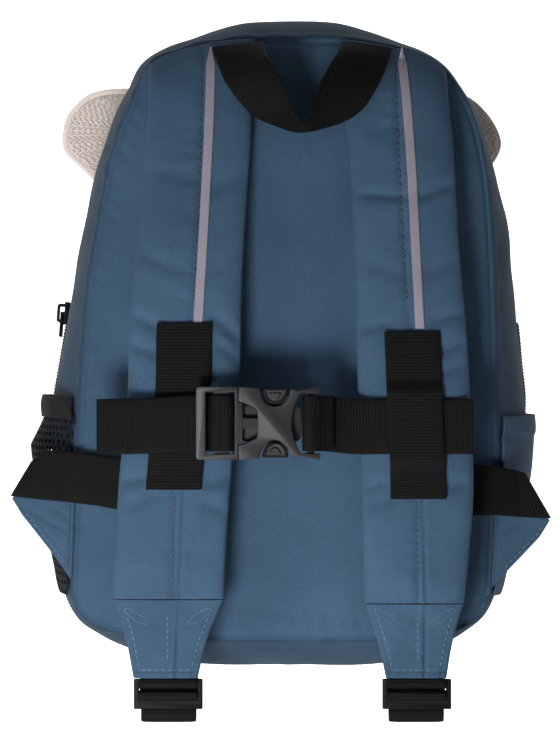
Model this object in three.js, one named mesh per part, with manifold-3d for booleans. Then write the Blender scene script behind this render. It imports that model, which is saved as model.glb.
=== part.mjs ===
// A kindergarten backpack, seen from the side that lies against the wearer. Millimetres, +Z up, the wearer's
// side faces -Y and the bag's front faces +Y. The origin is at the top centre of the back panel.
import * as THREE from "three";
import { mergeVertices } from "three/addons/utils/BufferGeometryUtils.js";
import Module from "manifold-3d";

const wasm = await Module();
wasm.setup();

// The bag's body
const halfWidth = 96.5;
const bodyHeight = 277;
const depthAtTop = 86;
const depthAtBase = 116;
const clothThick = 1.8;
const padThick = 6;
const edgeThick = 2.5;
const panelBulge = 8;
const frontBulge = 14;
const sideBulge = 16;
const seamGap = 0.3;

// Straps, webbing and hardware
const strapWidth = 50;
const strapThick = 10;
const strapStandoff = 21;
const webbingWidth = 25;
const webbingThick = 1.4;
const reflectiveWidth = 4;
const reflectiveThick = 0.6;
const buckleThick = 7;
const buckleStand = 10.5;
const buckleRise = 1.6;
const lockRim = 3;
const lockThick = 3.2;
const zipWidth = 6;
const earThick = 4;
const wingThick = 2.1;

// Places: shares of bodyHeight below the origin, and of halfWidth beside it
const chestShare = 0.6426;
const zipEndShare = 0.462;
const pocketTopShare = 0.5975;
const pocketEndShare = 0.9242;
const tabEndShare = 1.045;
const lockCentre = { left: -0.5886, right: 0.572 };
const buckleLeftShare = -0.454;
const chestEnds = { left: -0.918, right: 0.829 };

// How finely the body is divided, and how square its bulge is
const aroundCount = 72;
const acrossCount = 8;
const bulgePower = 2.4;

// The back panel's seam, from its top centre round by the left side, as shares of halfWidth and bodyHeight
const seamRows = [
  { side: 0.0, down: 0.0 },
  { side: -0.258, down: 0.001 },
  { side: -0.406, down: 0.007 },
  { side: -0.544, down: 0.019 },
  { side: -0.64, down: 0.031 },
  { side: -0.702, down: 0.046 },
  { side: -0.759, down: 0.093 },
  { side: -0.821, down: 0.143 },
  { side: -0.875, down: 0.202 },
  { side: -0.912, down: 0.265 },
  { side: -0.946, down: 0.335 },
  { side: -0.978, down: 0.4 },
  { side: -0.998, down: 0.484 },
  { side: -1.014, down: 0.56 },
  { side: -1.031, down: 0.684 },
  { side: -1.041, down: 0.767 },
  { side: -1.052, down: 0.867 },
  { side: -1.052, down: 0.926 },
  { side: -1.0, down: 0.965 },
  { side: -0.831, down: 0.987 },
  { side: -0.401, down: 0.999 },
  { side: 0.0, down: 1.0 },
  { side: 0.387, down: 0.999 },
  { side: 0.697, down: 0.99 },
  { side: 0.869, down: 0.967 },
  { side: 0.928, down: 0.93 },
  { side: 0.942, down: 0.867 },
  { side: 0.954, down: 0.79 },
  { side: 0.965, down: 0.684 },
  { side: 0.962, down: 0.58 },
  { side: 0.956, down: 0.468 },
  { side: 0.946, down: 0.368 },
  { side: 0.933, down: 0.285 },
  { side: 0.912, down: 0.215 },
  { side: 0.869, down: 0.145 },
  { side: 0.822, down: 0.103 },
  { side: 0.752, down: 0.066 },
  { side: 0.683, down: 0.04 },
  { side: 0.602, down: 0.026 },
  { side: 0.43, down: 0.011 },
  { side: 0.234, down: 0.001 },
];

// How far the gusset bulges past the seam, as shares of sideBulge, down each side
const bulgeRows = [
  { at: 0.0, left: 0.78, right: 0.76 },
  { at: 0.003, left: 0.6, right: 0.62 },
  { at: 0.01, left: 0.54, right: 0.53 },
  { at: 0.02, left: 0.42, right: 0.38 },
  { at: 0.035, left: 0.36, right: 0.29 },
  { at: 0.05, left: 0.32, right: 0.27 },
  { at: 0.08, left: 0.4, right: 0.27 },
  { at: 0.12, left: 0.5, right: 0.3 },
  { at: 0.2, left: 0.51, right: 0.44 },
  { at: 0.3, left: 0.57, right: 0.67 },
  { at: 0.4, left: 0.61, right: 0.8 },
  { at: 0.5, left: 0.78, right: 0.92 },
  { at: 0.6, left: 0.95, right: 1.07 },
  { at: 0.7, left: 0.92, right: 1.1 },
  { at: 0.85, left: 0.64, right: 0.62 },
  { at: 0.9, left: 0.5, right: 0.46 },
  { at: 0.94, left: 0.45, right: 0.35 },
  { at: 0.967, left: 0.4, right: 0.3 },
  { at: 0.98, left: 0.48, right: 0.36 },
  { at: 0.99, left: 0.72, right: 0.68 },
  { at: 1.0, left: 1.06, right: 1.06 },
];

// The shoulder straps from the top seam down: centre as a share of halfWidth, width of strapWidth, the back
// face's distance from the seam's plane of strapStandoff, thickness of strapThick
const strapRows = {
  left: [
    { at: 0.0, centre: -0.44, width: 0.98, out: 0.03, thick: 0.25 },
    { at: 0.03, centre: -0.442, width: 0.955, out: 0.16, thick: 0.6 },
    { at: 0.07, centre: -0.443, width: 0.945, out: 0.27, thick: 0.88 },
    { at: 0.11, centre: -0.444, width: 0.944, out: 0.35, thick: 0.98 },
    { at: 0.17, centre: -0.45, width: 0.95, out: 0.46, thick: 1.0 },
    { at: 0.25, centre: -0.466, width: 0.957, out: 0.6, thick: 0.98 },
    { at: 0.33, centre: -0.484, width: 0.968, out: 0.7, thick: 1.0 },
    { at: 0.41, centre: -0.501, width: 0.99, out: 0.8, thick: 1.0 },
    { at: 0.49, centre: -0.513, width: 1.018, out: 0.88, thick: 0.97 },
    { at: 0.57, centre: -0.516, width: 1.008, out: 0.93, thick: 1.0 },
    { at: 0.64, centre: -0.53, width: 1.006, out: 0.96, thick: 1.0 },
    { at: 0.7, centre: -0.551, width: 1.006, out: 0.98, thick: 1.0 },
    { at: 0.77, centre: -0.566, width: 1.006, out: 1.0, thick: 1.0 },
    { at: 0.84, centre: -0.579, width: 1.004, out: 1.0, thick: 0.98 },
    { at: 0.9, centre: -0.587, width: 1.004, out: 1.0, thick: 0.92 },
    { at: 0.923, centre: -0.588, width: 1.0, out: 1.02, thick: 0.8 },
  ],
  right: [
    { at: 0.0, centre: 0.472, width: 0.98, out: 0.03, thick: 0.25 },
    { at: 0.03, centre: 0.475, width: 0.975, out: 0.16, thick: 0.6 },
    { at: 0.07, centre: 0.478, width: 0.972, out: 0.27, thick: 0.88 },
    { at: 0.11, centre: 0.482, width: 0.974, out: 0.35, thick: 0.98 },
    { at: 0.17, centre: 0.497, width: 0.966, out: 0.46, thick: 1.0 },
    { at: 0.25, centre: 0.513, width: 0.95, out: 0.6, thick: 0.97 },
    { at: 0.33, centre: 0.523, width: 0.95, out: 0.7, thick: 1.0 },
    { at: 0.41, centre: 0.536, width: 0.965, out: 0.8, thick: 1.0 },
    { at: 0.49, centre: 0.548, width: 0.995, out: 0.88, thick: 1.0 },
    { at: 0.57, centre: 0.557, width: 1.008, out: 0.93, thick: 1.0 },
    { at: 0.64, centre: 0.564, width: 1.012, out: 0.96, thick: 1.0 },
    { at: 0.7, centre: 0.573, width: 1.016, out: 0.98, thick: 1.0 },
    { at: 0.77, centre: 0.576, width: 1.0, out: 1.0, thick: 1.0 },
    { at: 0.84, centre: 0.569, width: 0.965, out: 1.0, thick: 0.98 },
    { at: 0.91, centre: 0.561, width: 0.92, out: 1.0, thick: 0.92 },
    { at: 0.93, centre: 0.56, width: 0.9, out: 1.02, thick: 0.8 },
  ],
};

// The tapered end below each strap, with the same columns
const tabRows = {
  left: [
    { at: 0.9245, centre: -0.588, width: 0.996, out: 1.04, thick: 0.72 },
    { at: 0.945, centre: -0.59, width: 0.9, out: 1.06, thick: 0.6 },
    { at: 0.99, centre: -0.597, width: 0.73, out: 1.1, thick: 0.5 },
    { at: tabEndShare, centre: -0.601, width: 0.58, out: 1.14, thick: 0.44 },
  ],
  right: [
    { at: 0.9315, centre: 0.56, width: 0.896, out: 1.04, thick: 0.72 },
    { at: 0.95, centre: 0.561, width: 0.82, out: 1.06, thick: 0.6 },
    { at: 0.995, centre: 0.565, width: 0.67, out: 1.1, thick: 0.5 },
    { at: tabEndShare, centre: 0.569, width: 0.545, out: 1.14, thick: 0.44 },
  ],
};

// The padded section, as shares of half its width and half its thickness
const padSection = [
  { across: -1.0, out: 0.0 },
  { across: -0.93, out: 0.55 },
  { across: -0.77, out: 0.88 },
  { across: -0.52, out: 1.0 },
  { across: 0.52, out: 1.0 },
  { across: 0.77, out: 0.88 },
  { across: 0.93, out: 0.55 },
  { across: 1.0, out: 0.0 },
  { across: 0.93, out: -0.55 },
  { across: 0.77, out: -0.88 },
  { across: 0.52, out: -1.0 },
  { across: -0.52, out: -1.0 },
  { across: -0.77, out: -0.88 },
  { across: -0.93, out: -0.55 },
];

// The grab handle's outer edge, which lies on the panel, and its inner edge, which lifts off it, as shares of
// webbingWidth to the side, down and out
const handleRows = [
  { outerSide: -1.5, outerDown: 0.2, outerOut: 0.3, innerSide: -0.56, innerDown: 0.1, innerOut: 0.3 },
  { outerSide: -1.43, outerDown: 0.42, outerOut: 0.52, innerSide: -0.52, innerDown: 0.28, innerOut: 0.66 },
  { outerSide: -1.26, outerDown: 0.86, outerOut: 0.7, innerSide: -0.44, innerDown: 0.52, innerOut: 1.06 },
  { outerSide: -0.99, outerDown: 1.24, outerOut: 0.76, innerSide: -0.24, innerDown: 0.88, innerOut: 1.26 },
  { outerSide: -0.72, outerDown: 1.5, outerOut: 0.72, innerSide: -0.11, innerDown: 1.24, innerOut: 1.34 },
  { outerSide: -0.38, outerDown: 1.64, outerOut: 0.54, innerSide: 0.03, innerDown: 1.55, innerOut: 1.38 },
  { outerSide: 0.1, outerDown: 1.76, outerOut: 0.4, innerSide: 0.16, innerDown: 1.68, innerOut: 1.38 },
  { outerSide: 0.6, outerDown: 1.68, outerOut: 0.54, innerSide: 0.27, innerDown: 1.58, innerOut: 1.36 },
  { outerSide: 0.98, outerDown: 1.56, outerOut: 0.7, innerSide: 0.35, innerDown: 1.3, innerOut: 1.32 },
  { outerSide: 1.27, outerDown: 1.34, outerOut: 0.76, innerSide: 0.47, innerDown: 0.94, innerOut: 1.24 },
  { outerSide: 1.52, outerDown: 0.94, outerOut: 0.74, innerSide: 0.64, innerDown: 0.6, innerOut: 1.04 },
  { outerSide: 1.72, outerDown: 0.46, outerOut: 0.54, innerSide: 0.8, innerDown: 0.3, innerOut: 0.68 },
  { outerSide: 1.8, outerDown: 0.23, outerOut: 0.3, innerSide: 0.86, innerDown: 0.1, innerOut: 0.3 },
];

// Each ear's free edge from the top down, as shares of halfWidth and bodyHeight
const earRows = {
  left: [
    { side: -0.72, down: 0.05 },
    { side: -0.86, down: 0.048 },
    { side: -0.99, down: 0.052 },
    { side: -1.062, down: 0.062 },
    { side: -1.108, down: 0.075 },
    { side: -1.16, down: 0.098 },
    { side: -1.183, down: 0.13 },
    { side: -1.183, down: 0.15 },
    { side: -1.165, down: 0.164 },
    { side: -1.129, down: 0.177 },
    { side: -1.088, down: 0.191 },
    { side: -1.041, down: 0.206 },
    { side: -0.96, down: 0.235 },
    { side: -0.915, down: 0.25 },
  ],
  right: [
    { side: 0.735, down: 0.052 },
    { side: 0.84, down: 0.055 },
    { side: 0.93, down: 0.07 },
    { side: 0.99, down: 0.09 },
    { side: 1.021, down: 0.104 },
    { side: 1.046, down: 0.119 },
    { side: 1.062, down: 0.132 },
    { side: 1.069, down: 0.145 },
    { side: 1.065, down: 0.156 },
    { side: 1.054, down: 0.166 },
    { side: 1.03, down: 0.18 },
    { side: 0.98, down: 0.205 },
    { side: 0.935, down: 0.226 },
  ],
};

// Webbing from each wing's tip to the fold behind the strap: its upper and lower edge as shares of halfWidth
// to the side and bodyHeight down, out as a share of strapStandoff
const wingWebbingRows = {
  left: [
    { topSide: -1.25, topDown: 0.702, lowSide: -1.35, lowDown: 0.76, out: 0.19 },
    { topSide: -1.18, topDown: 0.685, lowSide: -1.2, lowDown: 0.766, out: 0.2 },
    { topSide: -1.1, topDown: 0.685, lowSide: -1.1, lowDown: 0.769, out: 0.22 },
    { topSide: -0.94, topDown: 0.691, lowSide: -0.94, lowDown: 0.775, out: 0.34 },
    { topSide: -0.84, topDown: 0.696, lowSide: -0.84, lowDown: 0.781, out: 0.44 },
    { topSide: -0.77, topDown: 0.698, lowSide: -0.72, lowDown: 0.785, out: 0.49 },
  ],
  right: [
    { topSide: 1.1, topDown: 0.722, lowSide: 1.225, lowDown: 0.797, out: 0.19 },
    { topSide: 1.06, topDown: 0.717, lowSide: 1.08, lowDown: 0.795, out: 0.2 },
    { topSide: 0.955, topDown: 0.71, lowSide: 0.955, lowDown: 0.791, out: 0.34 },
    { topSide: 0.855, topDown: 0.707, lowSide: 0.855, lowDown: 0.791, out: 0.44 },
    { topSide: 0.77, topDown: 0.706, lowSide: 0.72, lowDown: 0.791, out: 0.49 },
  ],
};

// Each wing's free edge from the top down, as shares of halfWidth and bodyHeight
const wingRows = {
  left: [
    { side: -1.042, down: 0.72 },
    { side: -1.17, down: 0.715 },
    { side: -1.25, down: 0.728 },
    { side: -1.345, down: 0.764 },
    { side: -1.3, down: 0.79 },
    { side: -1.205, down: 0.832 },
    { side: -1.125, down: 0.868 },
    { side: -1.062, down: 0.9 },
  ],
  right: [
    { side: 0.97, down: 0.735 },
    { side: 1.07, down: 0.74 },
    { side: 1.13, down: 0.752 },
    { side: 1.22, down: 0.801 },
    { side: 1.17, down: 0.829 },
    { side: 1.075, down: 0.864 },
    { side: 0.98, down: 0.898 },
    { side: 0.947, down: 0.912 },
  ],
};

// The spot inside each wing that its rings close in on
const wingMiddles = {
  left: { side: -1.15, down: 0.78 },
  right: { side: 1.05, down: 0.8 },
};

// How far each side pocket stands off the gusset, as a share of sideBulge, from its top edge down
const pocketRows = {
  left: [
    { at: 0.0, off: 0.21 },
    { at: 0.1, off: 0.21 },
    { at: 0.26, off: 0.6 },
    { at: 0.42, off: 0.5 },
    { at: 0.65, off: 0.31 },
    { at: 0.85, off: 0.16 },
    { at: 1.0, off: 0.05 },
  ],
  right: [
    { at: 0.0, off: 0.06 },
    { at: 0.15, off: 0.15 },
    { at: 0.5, off: 0.16 },
    { at: 0.85, off: 0.1 },
    { at: 1.0, off: 0.05 },
  ],
};

const group = new THREE.Group();
const blueCloth = { color: 0x36566f, roughness: 0.85, metalness: 0 };
const blackWebbing = { color: 0x17171a, roughness: 0.8, metalness: 0 };
const blackPlastic = { color: 0x26272a, roughness: 0.45, metalness: 0 };
const earCloth = { color: 0xc9bbb5, roughness: 0.9, metalness: 0 };
const reflectiveTape = { color: 0x8d8791, roughness: 0.45, metalness: 0 };
const blackMesh = { color: 0x1d1f24, roughness: 0.9, metalness: 0 };

function addPiece(name, geometry, look) {
  const piece = new THREE.Mesh(geometry, new THREE.MeshStandardMaterial(look));
  piece.name = name;
  group.add(piece);
}

// The value of one column at a share of the way down a table, straight between its rows
function between(rows, at, column) {
  const inside = Math.min(Math.max(at, rows[0].at), rows[rows.length - 1].at);
  let low = 0;
  while (low < rows.length - 2 && rows[low + 1].at < inside) {
    low += 1;
  }
  const share = (inside - rows[low].at) / (rows[low + 1].at - rows[low].at);
  return rows[low][column] * (1 - share) + rows[low + 1][column] * share;
}

// A closed skin through rings of points, each with the same number of them. Its ends are closed by a fan
// from their middle, or by a strip between their two halves where the ring is thin and bent, or joined as a
// loop.
function skin(rings, ends = "fan") {
  const around = rings[0].length;
  const points = rings.flat().flatMap((point) => [point.x, point.y, point.z]);
  const faces = [];
  const bandCount = ends === "loop" ? rings.length : rings.length - 1;
  for (let band = 0; band < bandCount; band += 1) {
    const next = (band + 1) % rings.length;
    for (let k = 0; k < around; k += 1) {
      const beside = (k + 1) % around;
      const [a, b] = [band * around + k, band * around + beside];
      const [c, d] = [next * around + beside, next * around + k];
      faces.push(a, b, c, a, c, d);
    }
  }
  const endRows = ends === "loop" ? [] : [0, rings.length - 1];
  endRows.forEach((row) => {
    const isFirst = row === 0;
    const start = row * around;
    if (ends === "strip") {
      for (let k = 0; k < around / 2 - 1; k += 1) {
        const [a, b] = [start + k, start + k + 1];
        const [c, d] = [start + around - 2 - k, start + around - 1 - k];
        faces.push(...(isFirst ? [a, c, b, a, d, c] : [a, b, c, a, c, d]));
      }
      return;
    }
    const middle = new THREE.Vector3();
    rings[row].forEach((point) => middle.addScaledVector(point, 1 / around));
    const hub = points.length / 3;
    points.push(middle.x, middle.y, middle.z);
    for (let k = 0; k < around; k += 1) {
      const [a, b] = [start + k, start + ((k + 1) % around)];
      faces.push(...(isFirst ? [hub, b, a] : [hub, a, b]));
    }
  });
  const geometry = new THREE.BufferGeometry();
  geometry.setAttribute("position", new THREE.Float32BufferAttribute(points, 3));
  geometry.setIndex(faces);
  return faceOutward(geometry);
}

// Six times the volume inside a skin is the sum of each face's triple product; a negative one is turned round
function faceOutward(geometry) {
  const place = geometry.getAttribute("position");
  const index = geometry.getIndex().array;
  let sum = 0;
  for (let k = 0; k < index.length; k += 3) {
    const [a, b, c] = [0, 1, 2].map((n) => new THREE.Vector3().fromBufferAttribute(place, index[k + n]));
    sum += a.dot(b.cross(c));
  }
  if (sum < 0) {
    for (let k = 0; k < index.length; k += 3) {
      [index[k + 1], index[k + 2]] = [index[k + 2], index[k + 1]];
    }
  }
  geometry.computeVertexNormals();
  return geometry;
}

function toSolid(geometry) {
  geometry.deleteAttribute("normal");
  geometry.deleteAttribute("uv");
  const merged = mergeVertices(geometry, 1e-4);
  return new wasm.Manifold(
    new wasm.Mesh({
      numProp: 3,
      vertProperties: new Float32Array(merged.getAttribute("position").array),
      triVerts: new Uint32Array(merged.getIndex().array),
    }),
  );
}

function toGeometry(solid) {
  const mesh = solid.getMesh();
  const geometry = new THREE.BufferGeometry();
  geometry.setAttribute("position", new THREE.Float32BufferAttribute(mesh.vertProperties, 3));
  geometry.setIndex(Array.from(mesh.triVerts));
  geometry.computeVertexNormals();
  return geometry;
}

// A flat shape drawn in the XZ plane and made thick from its back face towards -Y
function slab(shape, backY, thick) {
  const geometry = new THREE.ExtrudeGeometry(shape, { depth: thick, bevelEnabled: false, curveSegments: 8 });
  geometry.rotateX(Math.PI / 2);
  geometry.translate(0, backY, 0);
  return toSolid(geometry);
}

// A slab with windows cut right through it
function windowed(shape, windows, backY, thick) {
  const whole = slab(shape, backY, thick);
  return windows.reduce((rest, cut) => rest.subtract(slab(cut, backY + 1, thick + 2)), whole);
}

function shapeOf(points) {
  return new THREE.Shape(points.map(([x, z]) => new THREE.Vector2(x, z)));
}

function boxShape(left, right, low, high) {
  return shapeOf([[left, low], [right, low], [right, high], [left, high]]);
}

// A band of webbing through pairs of edge points; each row's thickness is set across its edge and its path
function ribbon(rows, thick) {
  const middles = rows.map((row) => row.a.clone().add(row.b).multiplyScalar(0.5));
  const rings = rows.map((row, k) => {
    const before = middles[Math.max(k - 1, 0)];
    const after = middles[Math.min(k + 1, rows.length - 1)];
    const along = after.clone().sub(before).normalize();
    const across = row.b.clone().sub(row.a).normalize();
    const out = across.cross(along).normalize().multiplyScalar(thick / 2);
    return [
      row.a.clone().add(out),
      row.b.clone().add(out),
      row.b.clone().sub(out),
      row.a.clone().sub(out),
    ];
  });
  return skin(rings);
}

// A curve's points, smoothed through the given ones
function smoothPath(points, count) {
  return new THREE.CatmullRomCurve3(points, false, "centripetal").getSpacedPoints(count);
}

// The seam round the back panel, at even steps, and the way that points outward from it at each one
const seam = new THREE.CatmullRomCurve3(
  seamRows.map((row) => new THREE.Vector3(row.side * halfWidth, 0, -row.down * bodyHeight)),
  true,
  "centripetal",
)
  .getSpacedPoints(aroundCount)
  .slice(0, aroundCount);
const seamNormals = seam.map((point, k) => {
  const before = seam[(k + aroundCount - 1) % aroundCount];
  const after = seam[(k + 1) % aroundCount];
  const along = after.clone().sub(before).normalize();
  return new THREE.Vector3(along.z, 0, -along.x);
});
const seamCentre = new THREE.Vector3(0, 0, -bodyHeight / 2);
if (seamNormals[0].dot(seam[0].clone().sub(seamCentre)) < 0) {
  seamNormals.forEach((normal) => normal.negate());
}

function depthAt(z) {
  const share = Math.min(Math.max(-z / bodyHeight, 0), 1);
  return depthAtTop + (depthAtBase - depthAtTop) * share;
}

function bulgeAt(point) {
  const share = -point.z / bodyHeight;
  const toRight = Math.min(Math.max(0.5 + point.x / halfWidth, 0), 1);
  const left = between(bulgeRows, share, "left");
  const right = between(bulgeRows, share, "right");
  return sideBulge * (left * (1 - toRight) + right * toRight);
}

// The bag stands on the gusset's flat middle, this far below the seam
const baseDrop = 0.975 * sideBulge;
const baseFloor = -(bodyHeight + baseDrop);

// A point of the gusset at seam sample k and share t of its depth, lifted off its outer face
function gussetPoint(k, t, lift) {
  const edge = seam[k];
  const bulge = bulgeAt(edge);
  const depth = depthAt(edge.z);
  const bulgeOf = (share) => bulge * (1 - Math.abs(2 * share - 1) ** bulgePower);
  const step = 0.5 / acrossCount;
  const isEnd = t <= 0 || t >= 1;
  const slope = isEnd ? 0 : (bulgeOf(t + step) - bulgeOf(t - step)) / (2 * step * depth);
  const length = Math.hypot(1, slope);
  const outward = isEnd ? 0 : lift / length;
  const rearward = isEnd ? (t <= 0 ? -lift : lift) : (-slope * lift) / length;
  const reach = seamGap + bulgeOf(Math.min(Math.max(t, 0), 1)) + outward;
  const point = edge.clone().addScaledVector(seamNormals[k], reach);
  point.y = t * depth + rearward;
  point.z = Math.max(point.z, baseFloor - lift);
  return point;
}

const gussetRings = seam.map((_, k) => {
  const outer = [];
  const inner = [];
  for (let j = 0; j <= acrossCount; j += 1) {
    outer.push(gussetPoint(k, j / acrossCount, 0));
    inner.unshift(gussetPoint(k, j / acrossCount, -clothThick));
  }
  return [...outer, ...inner];
});

// The zip runs over the top at this share of the gusset's depth, between its two ends
const zipShare = 0.55;
const zipCut = 6;
const zipSamples = seam
  .map((point, k) => ({ k, point }))
  .filter(({ point }) => point.z > -zipEndShare * bodyHeight)
  .map(({ k }) => (k < aroundCount / 2 ? k + aroundCount : k))
  .sort((one, other) => one - other)
  .map((k) => k % aroundCount);

// A bar along the zip's line: its width, and how low and high it reaches from the gusset's outer face. Its
// two ends are drawn in by some mm.
function zipBar(width, low, high, drawnIn) {
  const line = zipSamples.map((k) => gussetPoint(k, zipShare, 0));
  const last = line.length - 1;
  return skin(
    line.map((point, row) => {
      const inward = line[Math.min(Math.max(row, 1), last - 1)].clone().sub(point).normalize();
      const spot = point.clone().addScaledVector(inward, drawnIn);
      return [
        [-width / 2, low],
        [width / 2, low],
        [width / 2, high],
        [-width / 2, high],
      ].map(([shift, lift]) => {
        const corner = spot.clone().addScaledVector(seamNormals[zipSamples[row]], lift);
        corner.y += shift;
        return corner;
      });
    }),
  );
}

const zipSlit = toSolid(zipBar(zipWidth, -zipCut, zipCut, 0));
const gussetSolid = toSolid(skin(gussetRings, "loop")).subtract(zipSlit);
addPiece("gusset", toGeometry(gussetSolid), blueCloth);
const coilTop = -seamGap / 2;
addPiece("zip_coil", zipBar(zipWidth - 2 * seamGap, coilTop - 1.4, coilTop, seamGap + 0.1), blackMesh);

// A flat piece's rim: its free edge from a table, from the top down, then back up along the seam
const rimClear = 3;
function rimFromSeam(rows, sign) {
  const free = rows.map((row) => new THREE.Vector3(row.side * halfWidth, 0, -row.down * bodyHeight));
  const lowEnd = free[free.length - 1];
  const root = seam
    .map((point, k) => point.clone().addScaledVector(seamNormals[k], seamGap + 0.1))
    .filter((point) => point.x * sign > 0 && point.z < free[0].z - rimClear && point.z > lowEnd.z + rimClear)
    .sort((one, other) => one.z - other.z);
  return [...free, ...root];
}

// A soft plate: rings from its centre out to its rim on one face, and back in on the other
function plate(rim, centre, shares, height) {
  const ringAt = (share, face) =>
    rim.map((point) => {
      const x = centre.x + (point.x - centre.x) * share;
      const z = centre.z + (point.z - centre.z) * share;
      return new THREE.Vector3(x, height(x, z, share, face), z);
    });
  return skin([
    ...shares.map((share) => ringAt(share, -1)),
    ...shares.map((share) => ringAt(share, 1)).reverse(),
  ]);
}

// The back panel rises quickly inside the seam and then stays nearly flat; the front one is a low dome
const panelShares = [0.3, 0.6, 0.8, 0.9, 0.96, 1];
addPiece(
  "back_panel",
  plate(seam, seamCentre, panelShares, (x, z, share, face) => {
    const thick = padThick + (edgeThick - padThick) * share ** 6;
    const outer = -panelBulge * (1 - share ** 5);
    return face < 0 ? outer : outer + thick;
  }),
  blueCloth,
);
addPiece(
  "front_panel",
  plate(seam, seamCentre, [0.35, 0.65, 0.85, 1], (x, z, share, face) => {
    const outer = depthAt(z) + frontBulge * (1 - share ** 3);
    return face < 0 ? outer - clothThick : outer;
  }),
  blueCloth,
);

// How far the top seam lies below the origin at a distance to the side
function topSeam(x) {
  const upper = seam.filter((point) => point.z > -bodyHeight / 4);
  const nearest = upper.sort((one, other) => Math.abs(one.x - x) - Math.abs(other.x - x));
  const [one, other] = nearest;
  const share = (x - one.x) / (other.x - one.x);
  return one.z + (other.z - one.z) * share;
}

const slantLength = 0.17;

// A spot on a strap: at a share down, across from its centre line in mm, and out from the seam's plane
function strapSpot(rows, at, across, out) {
  const x = between(rows, at, "centre") * halfWidth + across;
  const slant = Math.max(1 - at / slantLength, 0);
  return new THREE.Vector3(x, -out, -at * bodyHeight + slant * (topSeam(x) - seamGap));
}

function padRing(rows, at) {
  const width = between(rows, at, "width") * strapWidth;
  const thick = between(rows, at, "thick") * strapThick;
  const middle = between(rows, at, "out") * strapStandoff + thick / 2;
  return padSection.map(({ across, out }) =>
    strapSpot(rows, at, (across * width) / 2, middle + (out * thick) / 2),
  );
}

function strapFront(rows, at) {
  return between(rows, at, "out") * strapStandoff + between(rows, at, "thick") * strapThick;
}

// Every share of the way down at which a strip on a strap needs a row, so that it follows the strap's facets
function stripStations(rows, from, to) {
  return [from, ...rows.map((row) => row.at).filter((at) => at > from && at < to), to];
}

// A strip on a strap's outer face, shift mm from the strap's centre line, lifted by layers of webbing
function strapStrip(rows, stations, width, thick, shiftAt, liftAt) {
  return ribbon(
    stations.map((at) => {
      const out = strapFront(rows, at) + seamGap + thick / 2 + liftAt(at);
      const half = width(at) / 2;
      return {
        a: strapSpot(rows, at, shiftAt(at) - half, out),
        b: strapSpot(rows, at, shiftAt(at) + half, out),
      };
    }),
    thick,
  );
}

const sides = { left: -1, right: 1 };
const stripRows = {
  left: [
    { at: 0.004, centre: -0.404 },
    { at: 0.04, centre: -0.394 },
    { at: 0.11, centre: -0.397 },
    { at: 0.24, centre: -0.413 },
    { at: 0.34, centre: -0.427 },
    { at: 0.47, centre: -0.45 },
  ],
  right: [
    { at: 0.006, centre: 0.512 },
    { at: 0.04, centre: 0.511 },
    { at: 0.11, centre: 0.528 },
    { at: 0.24, centre: 0.552 },
    { at: 0.34, centre: 0.565 },
    { at: 0.484, centre: 0.586 },
  ],
};
const webbingSpan = {
  left: { from: 0.475, to: 0.745 },
  right: { from: 0.489, to: 0.76 },
};

// The right strap's webbing rises over the chest strap within these shares of bodyHeight
const layer = webbingThick + seamGap;
const chestDown = chestShare * bodyHeight;
const chestHalf = webbingWidth / 2 / bodyHeight;
const chestRest = strapFront(strapRows.right, chestShare + chestHalf) + seamGap + webbingThick / 2;
const riseLength = 0.02;
const liftStart = chestShare - chestHalf - 1.5 * riseLength;
const liftEnd = chestShare + chestHalf + 1.5 * riseLength;

Object.keys(sides).forEach((side) => {
  const rows = strapRows[side];
  addPiece(`shoulder_strap_${side}`, skin(rows.map((row) => padRing(rows, row.at))), blueCloth);
  addPiece(`strap_tab_${side}`, skin(tabRows[side].map((row) => padRing(tabRows[side], row.at))), blueCloth);

  const strip = stripRows[side];
  const stripStart = strip[0].at;
  const stripEnd = strip[strip.length - 1].at;
  addPiece(
    `reflective_strip_${side}`,
    strapStrip(
      rows,
      stripStations(rows, stripStart, stripEnd),
      (at) => (at < stripStart + 0.01 ? reflectiveWidth / 4 : reflectiveWidth),
      reflectiveThick,
      (at) => (between(strip, at, "centre") - between(rows, at, "centre")) * halfWidth,
      () => 0,
    ),
    reflectiveTape,
  );

  const span = webbingSpan[side];
  const stations = stripStations(rows, span.from, span.to);
  if (side === "right") {
    stations.push(liftStart, liftStart + riseLength, liftEnd - riseLength, liftEnd);
    stations.sort((one, other) => one - other);
  }
  const plainLift = (at) => strapFront(rows, at) + seamGap + webbingThick / 2;
  const overChest = (at) =>
    Math.min(Math.max(Math.min(at - liftStart, liftEnd - at) / riseLength, 0), 1);
  addPiece(
    `strap_webbing_${side}`,
    strapStrip(
      rows,
      stations,
      () => webbingWidth,
      webbingThick,
      () => 0,
      (at) => (side === "right" ? overChest(at) * (chestRest + layer - plainLift(at)) : 0),
    ),
    blackWebbing,
  );
});

// A horizontal band at the chest strap's height; its path is a table of places beside the origin, out, and up
// from that height by a share of buckleRise
function chestBand(path, count) {
  const points = smoothPath(
    path.map(({ x, out, up = 0 }) => new THREE.Vector3(x, -out, up * buckleRise - chestDown)),
    count,
  );
  return ribbon(
    points.map((point) => ({
      a: point.clone().add(new THREE.Vector3(0, 0, webbingWidth / 2)),
      b: point.clone().add(new THREE.Vector3(0, 0, -webbingWidth / 2)),
    })),
    webbingThick,
  );
}

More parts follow.
